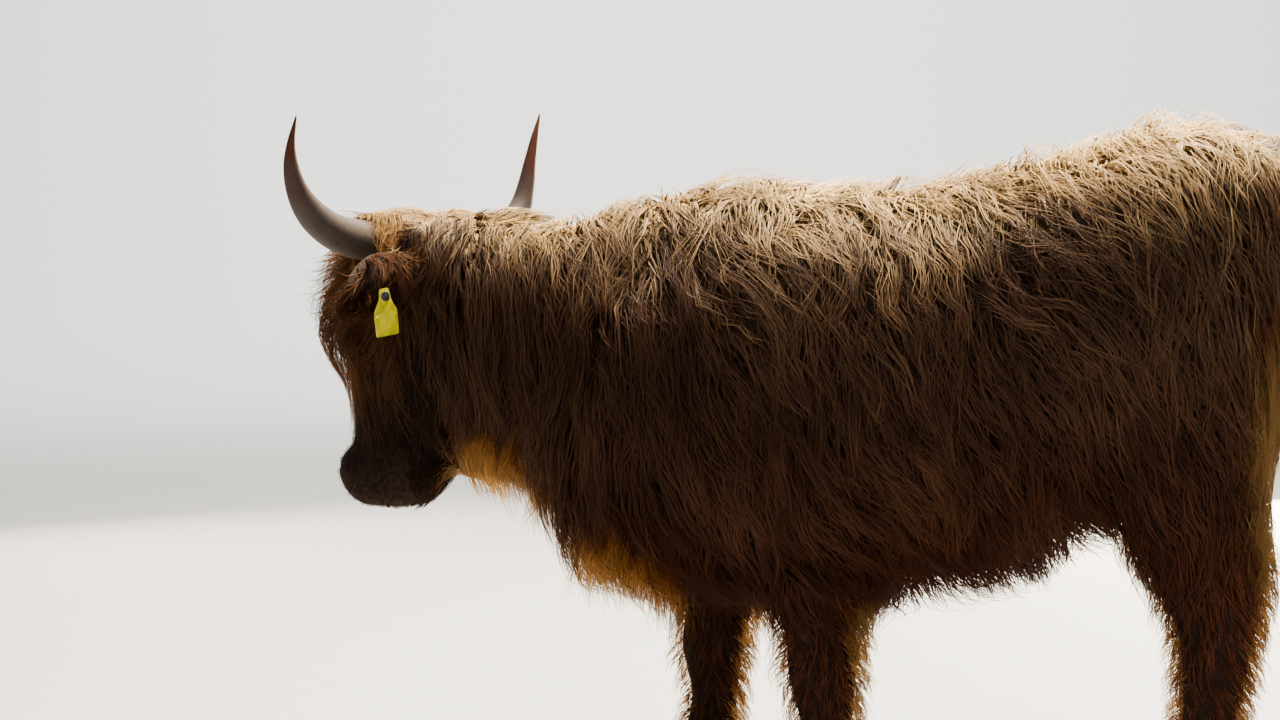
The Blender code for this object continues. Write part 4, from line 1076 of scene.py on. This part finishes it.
collars = []
for side, path in ((1, HORN_PATH), (-1, FAR_HORN_PATH)):
    draw = np.random.default_rng(90 + side)
    rows = spline(path, 9)
    start = draw.uniform(0.050, 0.098, COLLAR_TUFTS)
    turn = draw.uniform(-math.pi, math.pi, COLLAR_TUFTS)
    length = draw.uniform(0.06, 0.105, COLLAR_TUFTS)
    along = np.arange(COLLAR_STEPS + 1) / COLLAR_STEPS
    left = start[:, None] + length[:, None] * 0.62 * along ** 0.9
    swirl = (0.5 + 0.9 * draw.uniform(0, 1, COLLAR_TUFTS)) * np.sign(math.pi / 2 - np.abs(turn))
    spread = turn[:, None] + swirl[:, None] * along ** 1.5 + 0.16 * np.sin(along * 7 + 6 * turn[:, None])
    rise, ahead, share = (np.interp(left, rows[:, 0], rows[:, k]) for k in (1, 2, 3))
    radial = -np.cos(spread)[..., None] * DOWN - np.sin(spread)[..., None] * AHEAD
    puff = 0.011 * np.sin(along * 2.6) * draw.uniform(0.3, 1.2, COLLAR_TUFTS)[:, None]
    height = HORN_BASE_RADIUS * share + 0.001 + puff
    path = (HORN_LINE + AHEAD * ahead[..., None] + LEFT * (side * left)[..., None] - DOWN * rise[..., None]
            + radial * height[..., None])
    path[..., 2] -= 0.055 * along ** 2 * np.clip(1.2 - radial[..., 2] * 2.2, 0, 1)
    collars.append(dict(
        path=path, out=radial, wide=0.0026 * draw.uniform(0.6, 1.3, COLLAR_TUFTS),
        tone=draw.uniform(0, 1, COLLAR_TUFTS), spot=draw.uniform(0.1, 0.9, (COLLAR_TUFTS, 2))))
collar = {key: np.concatenate([grown[key] for grown in collars]) for key in collars[0]}
tufts("coat_horn_roots", off_the_tag(collar), straw)


# ---- Hide ------------------------------------------------------------------------
# The skin under the coat: dark and close-haired, paler along the back, with bare dark
# leather on the nose pad and eyelids. Tanned skin glued over the carved form.

NOSE_BACK, NOSE_TOP, LIP_EDGE, NOSE_HALF = 0.106, 0.375, 0.462, 0.060


def bareness(points):
    """How far each skin point is bare leather, from 0 to 1."""
    ahead, aside, drop = head_place(*points.T)
    aside = np.abs(aside)
    pad = np.clip((ahead - NOSE_BACK) / 0.014, 0, 1) * np.clip((drop - NOSE_TOP) / 0.014, 0, 1)
    pad *= np.clip((LIP_EDGE - drop) / 0.012, 0, 1) * np.clip((NOSE_HALF - aside) / 0.010, 0, 1)
    return np.maximum(pad, np.clip((0.024 - eye_range(ahead, aside, drop)) / 0.005, 0, 1))


skin.data.materials.clear()
mark(skin.data, "bare", bareness(skin_points))
hide = Paint("hide", (0.10, 0.036, 0.014), 0.7, Specular_IOR_Level=0.14)
place, bare = hide.place(), hide.marking("bare")
grain = hide.noise(hide.scaled(place, (1.0, 1.0, 0.16)), 420.0)
mixed = hide.sums((hide.noise(place, 7.0, 3.0), 0.4), (grain, 0.6))
colour = hide.ramp(mixed, ((0.36, (0.018, 0.010, 0.008)), (0.66, (0.048, 0.026, 0.017))))
# Paler on upward faces along the back: partly bleached close hair, partly painted top light.
upward = hide.axis(hide.add("NewGeometry", {}, "Normal"), "Z")
on_back = hide.spread(hide.axis(place, "X"), -0.64, -0.54)
bleach_and_top_light = hide.add("Math", {0: hide.spread(upward, 0.35, 0.85, 0.0, 0.75), 1: on_back}, operation="MULTIPLY")
colour = hide.mix(bleach_and_top_light, colour, (0.42, 0.24, 0.10, 1.0))
pebbles = hide.add("TexVoronoi", {"Vector": place, "Scale": 420.0}, "Distance")
leather = hide.ramp(pebbles, ((0.0, (0.034, 0.018, 0.014)), (0.8, (0.012, 0.007, 0.006))))
hide.feed(hide.mix(bare, colour, leather))
hide.feed(hide.spread(bare, 0.0, 1.0, 0.80, 0.42), "Roughness")
hide.bump(hide.add("Mix", {0: bare, 2: grain, 3: pebbles}), 0.5, 0.002)
skin.data.materials.append(hide.material)
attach(skin, "root")
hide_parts(*FLESH, "ear_left", "ear_right")


# ---- Horn sheaths ----------------------------------------------------------------
# The visible horn: a slightly oval taper with rings close to the head, streaked
# lengthwise, matt keratin polished towards the tip. Fixed over the bony cores.

HORN_SECTORS, RING_SPACING, RING_DEPTH = 32, 0.013, 0.022

horn = Paint("horn", (0.20, 0.16, 0.12), 0.56, Specular_IOR_Level=0.22)
run, around = horn.marking("run"), horn.marking("around", "Vector")
fibre = horn.noise(horn.scaled(around, (9.0, 9.0, 1.6)), 2.2, 4.0, 0.62)
moved = horn.sums((run, 1.0), (horn.noise(horn.place(), 22.0), 0.30), (1.0, -0.15))
colour = horn.ramp(moved, (
    (0.0, (0.145, 0.094, 0.058)), (0.25, (0.122, 0.091, 0.067)), (0.55, (0.090, 0.072, 0.063)),
    (0.72, (0.086, 0.054, 0.044)), (0.86, (0.100, 0.033, 0.019)), (1.0, (0.13, 0.045, 0.026))))
streaks = horn.ramp(fibre, ((0.30, (0.55, 0.52, 0.50)), (0.62, (1.0, 1.0, 1.0))))
horn.feed(horn.mix(0.8, colour, streaks, "MULTIPLY"))
horn.bump(fibre, 0.35, 0.0012)

angle = np.arange(HORN_SECTORS) * math.tau / HORN_SECTORS
for label, side, path in (("left", 1, HORN_PATH), ("right", -1, FAR_HORN_PATH)):
    rows = spline(path, 9)
    centres = np.array([on_head(row[2], side * row[0], -row[1]) for row in rows])
    axis = unit(np.gradient(centres, axis=0))
    one = unit(np.cross(axis, AHEAD))
    two = np.cross(axis, one)
    length = np.concatenate([[0], np.cumsum(np.linalg.norm(np.diff(centres, axis=0), axis=1))])
    rings = []
    for k, row in enumerate(rows):
        fade = math.exp(-((length[k] - 0.05) / 0.075) ** 2)
        wrinkle = (1 + RING_DEPTH * fade * math.sin(math.tau * length[k] / RING_SPACING)
                   + 0.010 * math.sin(length[k] * 61))
        radius = HORN_BASE_RADIUS * row[3] * wrinkle * (1 + 0.025 * np.cos(2 * angle + 0.7))
        rings.append(centres[k] + (radius * np.cos(angle))[:, None] * one[k]
                     + (radius * np.sin(angle))[:, None] * two[k])
    sheath = outward(new_piece("horn_sheath_" + label, *lofted(rings)))
    share = np.concatenate([np.repeat(length / length[-1], HORN_SECTORS), [0.0, 1.0]])
    mark(sheath.data, "run", share)
    turn = np.concatenate([np.tile(angle, len(rows)), [0.0, 0.0]])
    mark(sheath.data, "around", np.stack([np.cos(turn), np.sin(turn), share * 9.0], 1))
    sheath.data.materials.append(horn.material)
    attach(sheath, "root")
    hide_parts("horn_" + label)


# ---- Eyes ------------------------------------------------------------------------
# Glass eyes set in the sockets behind the lids: nearly black brown with a level
# oval pupil under a clear polished front.

PUPIL_LENGTH, PUPIL_HEIGHT = 0.42, 0.22
EYE_SIDES, EYE_RINGS, CORNEA = 40, 24, 0.05

glass = Paint("eye_glass", (0.02, 0.01, 0.006), 0.08, Coat_Weight=1.0, Coat_Roughness=0.03)
gaze = glass.marking("gaze", "Vector")
oval = glass.length(glass.scaled(gaze, (1 / PUPIL_LENGTH, 1 / PUPIL_HEIGHT, 0.0)))
colour = glass.ramp(glass.length(gaze), (
    (0.0, (0.030, 0.013, 0.006)), (0.62, (0.055, 0.024, 0.010)), (0.74, (0.012, 0.006, 0.004)),
    (0.86, (0.09, 0.07, 0.06))))
pupil = glass.ramp(oval, ((0.86, (1, 1, 1)), (1.0, (0, 0, 0))))
glass.feed(glass.mix(pupil, colour, (0.002, 0.002, 0.003, 1.0)))

angle = np.arange(EYE_SIDES) * math.tau / EYE_SIDES
upward = np.array((0, 0, 1.0))
for label, side in (("left", 1), ("right", -1)):
    middle = on_head(EYE[0], side * EYE[1], EYE[2])
    look = unit(LEFT * side + AHEAD * 0.22)
    forward = unit(AHEAD - look * (AHEAD @ look))
    circle = np.cos(angle)[:, None] * forward + np.sin(angle)[:, None] * upward
    rings = []
    for k in range(1, EYE_RINGS):
        t = math.pi * k / EYE_RINGS
        bulge = 1.0 + CORNEA * max(0.0, 1 - (t / 0.75) ** 2)
        rings.append(middle + EYE_RADIUS * (look * math.cos(t) * bulge + math.sin(t) * circle))
    points, faces = lofted(rings)
    points[-2:] = middle + look * EYE_RADIUS * (1 + CORNEA), middle - look * EYE_RADIUS
    off = points - middle
    ball = outward(new_piece("eyeball_" + label, points, faces))
    gazes = np.stack([off @ forward, off @ upward, 0 * off[:, 0]], 1) / EYE_RADIUS
    gazes[off @ look < 0] = (2.0, 2.0, 0.0)
    mark(ball.data, "gaze", gazes)
    ball.data.materials.append(glass.material)
    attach(ball, "root")
    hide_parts("eye_" + label)


# ---- Claws -----------------------------------------------------------------------
# Two cloven claws and two small dewclaws on every foot, of dark horn with growth
# lines round the wall. They are socketed into the feet under the coronet hair.

claw_horn = Paint("claw_horn", (0.030, 0.022, 0.018), 0.56, Specular_IOR_Level=0.25)
place = claw_horn.place()
lines = claw_horn.noise(claw_horn.scaled(place, (0.25, 0.25, 1.0)), 190.0, 3.0)
mixed = claw_horn.sums((claw_horn.noise(place, 36.0, 4.0), 0.45), (lines, 0.55))
claw_horn.feed(claw_horn.ramp(mixed, (
    (0.34, (0.012, 0.009, 0.008)), (0.55, (0.036, 0.026, 0.021)), (0.74, (0.095, 0.072, 0.054)))))
claw_horn.bump(lines, 0.5, 0.0015)

CLAW_SIDES, DEW_SIDES, DEW_RINGS = 36, 20, 12
CLAW_WALL = [  # height, toe set back, heel set in, side set in: shares of the claw's height, length, width
    (0.0, 0.030, 0.02, 0.04), (0.05, 0.0, 0.0, 0.0), (0.25, 0.050, 0.01, 0.0), (0.50, 0.125, 0.03, 0.02),
    (0.75, 0.205, 0.06, 0.06), (0.95, 0.270, 0.10, 0.10), (1.10, 0.310, 0.16, 0.16)]
angle = np.arange(CLAW_SIDES) * math.tau / CLAW_SIDES
forward = -np.cos(angle)
wide = np.sin(angle) * (1.0 - 0.30 * np.clip(forward, 0, 1) ** 2)
dew_angle = np.arange(DEW_SIDES) * math.tau / DEW_SIDES
for leg in ("foreleg_left", "foreleg_right", "hindleg_left", "hindleg_right"):
    for digit, other in (("outer", "inner"), ("inner", "outer")):
        name, dew = f"claw_{digit}_{leg}", f"dewclaw_{digit}_{leg}"
        low, high = (np.array(v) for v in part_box(name))
        inner_side = 1.0 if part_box(f"claw_{other}_{leg}")[0][1] > low[1] else -1.0
        middle, half, long = (low[1] + high[1]) / 2, (high[1] - low[1]) / 2, high[0] - low[0]
        rings = []
        for level, toe, heel, pinch in spline(CLAW_WALL, 4):
            front, rear = low[0] + long * toe, high[0] - long * heel
            body = half * (1 - pinch) * (1 + 0.012 * math.sin(level * 26))
            ys = middle + wide * body * np.where(wide * inner_side > 0, 0.90, 1.0)
            ys += inner_side * half * 0.22 * np.clip(forward, 0, 1) ** 2
            rings.append(np.stack([(front + rear) / 2 - (rear - front) / 2 * forward, ys,
                                   np.full(CLAW_SIDES, max(level, 0.0) * high[2])], 1))
        claw = outward(new_piece(f"hoof_{digit}_{leg}", *lofted(rings)))
        low, high = (np.array(v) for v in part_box(dew))
        middle, half = (low + high) / 2, (high - low) / 2
        rings = []
        for t in math.pi * np.arange(1, DEW_RINGS) / DEW_RINGS:
            swell = math.sin(t) ** 0.8
            rings.append(middle + half * np.stack([
                swell * np.cos(dew_angle) * 0.95 - 0.25 * math.cos(t), swell * np.sin(dew_angle),
                np.full(DEW_SIDES, -math.cos(t))], 1))
        spur = outward(new_piece(f"spur_{digit}_{leg}", *lofted(rings)))
        for piece, node in ((claw, name), (spur, dew)):
            piece.data.materials.append(claw_horn.material)
            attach(piece, "root")
            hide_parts(node)


# ---- Ear tag ---------------------------------------------------------------------
# A blank yellow flag tag behind the near ear, moulded in soft plastic with a raised
# boss and rib, held by a dark two-part stud pressed through the ear.

FLAG_OUTLINE = ((-0.0095, 0.013), (-0.0122, -0.005), (-0.0238, -0.025), (-0.0232, -0.0645),
                (0.0232, -0.0645), (0.0238, -0.025), (0.0122, -0.005), (0.0095, 0.013))
FLAG_CORNER, FLAG_THICKNESS = 0.0035, 0.0022
FLAG_BOW, FLAG_HALF = 0.0022, 0.028
STUD_RADIUS, STUD_CAP_RADIUS, STUD_REACH, STUD_SIDES = 0.0080, 0.009, 0.058, 36


def bowed(outline, level):
    """The outline laid at a height on the flag, which bows back towards its sides."""
    bow = FLAG_BOW * (outline[:, 0] / FLAG_HALF) ** 2
    return np.stack([outline[:, 0], outline[:, 1], level - bow], 1)


def lathed(profile):
    """Rings of a round shape: profile is (radius, height)."""
    angle = np.arange(STUD_SIDES) * math.tau / STUD_SIDES
    return [np.stack([r * np.cos(angle), r * np.sin(angle), np.full(STUD_SIDES, h)], 1) for r, h in profile]


def rounded(outline, radius, parts=5):
    """The outline with its corners rounded, as a list of points."""
    out = []
    for k, spot in enumerate(outline):
        before = np.array(outline[k - 1]) - spot
        after = np.array(outline[(k + 1) % len(outline)]) - spot
        reach = min(radius, 0.45 * np.linalg.norm(before), 0.45 * np.linalg.norm(after))
        start, end = spot + unit(before) * reach, spot + unit(after) * reach
        for t in np.linspace(0, 1, parts):
            out.append((1 - t) ** 2 * start + 2 * t * (1 - t) * np.array(spot) + t * t * end)
    return np.array(out)


flag_shape = rounded(FLAG_OUTLINE, FLAG_CORNER)
centre = flag_shape.mean(0)
rings = [bowed(centre + (flag_shape - centre) * inset, FLAG_THICKNESS * level) for inset, level in (
    (0.55, -0.5), (0.93, -0.5), (0.985, -0.36), (1.0, 0.0), (0.985, 0.36), (0.93, 0.5), (0.55, 0.5))]
flag = outward(new_piece("tag_flag_plate", *lofted(rings)))
rib = rounded(((-0.0215, -0.0325), (0.0215, -0.0325), (0.0215, -0.0315), (-0.0215, -0.0315)), 0.0005, 3)
rib = lofted([bowed(rib, level) for level in (FLAG_THICKNESS * 0.3, FLAG_THICKNESS * 0.5 + 0.0005)])
boss = lofted(lathed(((0.0098, 0.0), (0.0098, 0.0012), (0.0094, 0.0016), (0.0080, 0.0018))))
bars = [outward(new_piece(name, *shape)) for name, shape in (("rib", rib), ("boss", boss))]
flag = weld(flag, bars)
flag.data.materials.clear()
flag.data.transform(tag_frame)
yellow = Paint("tag_yellow", (0.72, 0.60, 0.035), 0.42, Subsurface_Weight=0.0)
place = yellow.place()
smear = yellow.noise(place, 70.0, 5.0, 0.65)
yellow.feed(yellow.ramp(smear, (
    (0.34, (0.42, 0.36, 0.035)), (0.52, (0.66, 0.58, 0.035)), (0.8, (0.76, 0.68, 0.06)))))
yellow.feed(yellow.spread(smear, 0.0, 1.0, 0.55, 0.32), "Roughness")
yellow.bump(yellow.noise(place, 900.0), 0.12, 0.0006)
flag.data.materials.append(yellow.material)

lathe = (
    (1e-4, 0.0052), (0.0030, 0.0052), (0.0040, 0.0046), (0.0046, 0.0046), (0.0068, 0.0048),
    (0.0077, 0.0040), (STUD_RADIUS, 0.0028), (STUD_RADIUS, 0.0014), (0.0068, 0.0004),
    (0.0040, -0.0010), (0.0030, -0.0040), (0.0030, 0.006 - STUD_REACH), (0.0050, 0.004 - STUD_REACH),
    (STUD_CAP_RADIUS, 0.003 - STUD_REACH), (STUD_CAP_RADIUS, 0.001 - STUD_REACH),
    (0.0070, -STUD_REACH), (1e-4, -STUD_REACH - 0.0005))
stud = outward(new_piece("tag_stud_button", *lofted(lathed(lathe))))
stud.data.transform(tag_frame)
grey = Paint("stud_grey", (0.045, 0.048, 0.052), 0.38)
scuff = grey.noise(grey.place(), 260.0, 4.0)
grey.feed(grey.ramp(scuff, ((0.4, (0.030, 0.032, 0.036)), (0.75, (0.085, 0.088, 0.092)))))
grey.bump(scuff, 0.15, 0.0006)
stud.data.materials.append(grey.material)
for piece, slot, node in ((flag, "tag_flag", "ear_tag_flag"), (stud, "tag_stud", "ear_tag_stud")):
    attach(piece, "root")
    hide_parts(node)

size = [[round(v, 5) for v in corner] for box in (cad_box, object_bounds()) for corner in box]
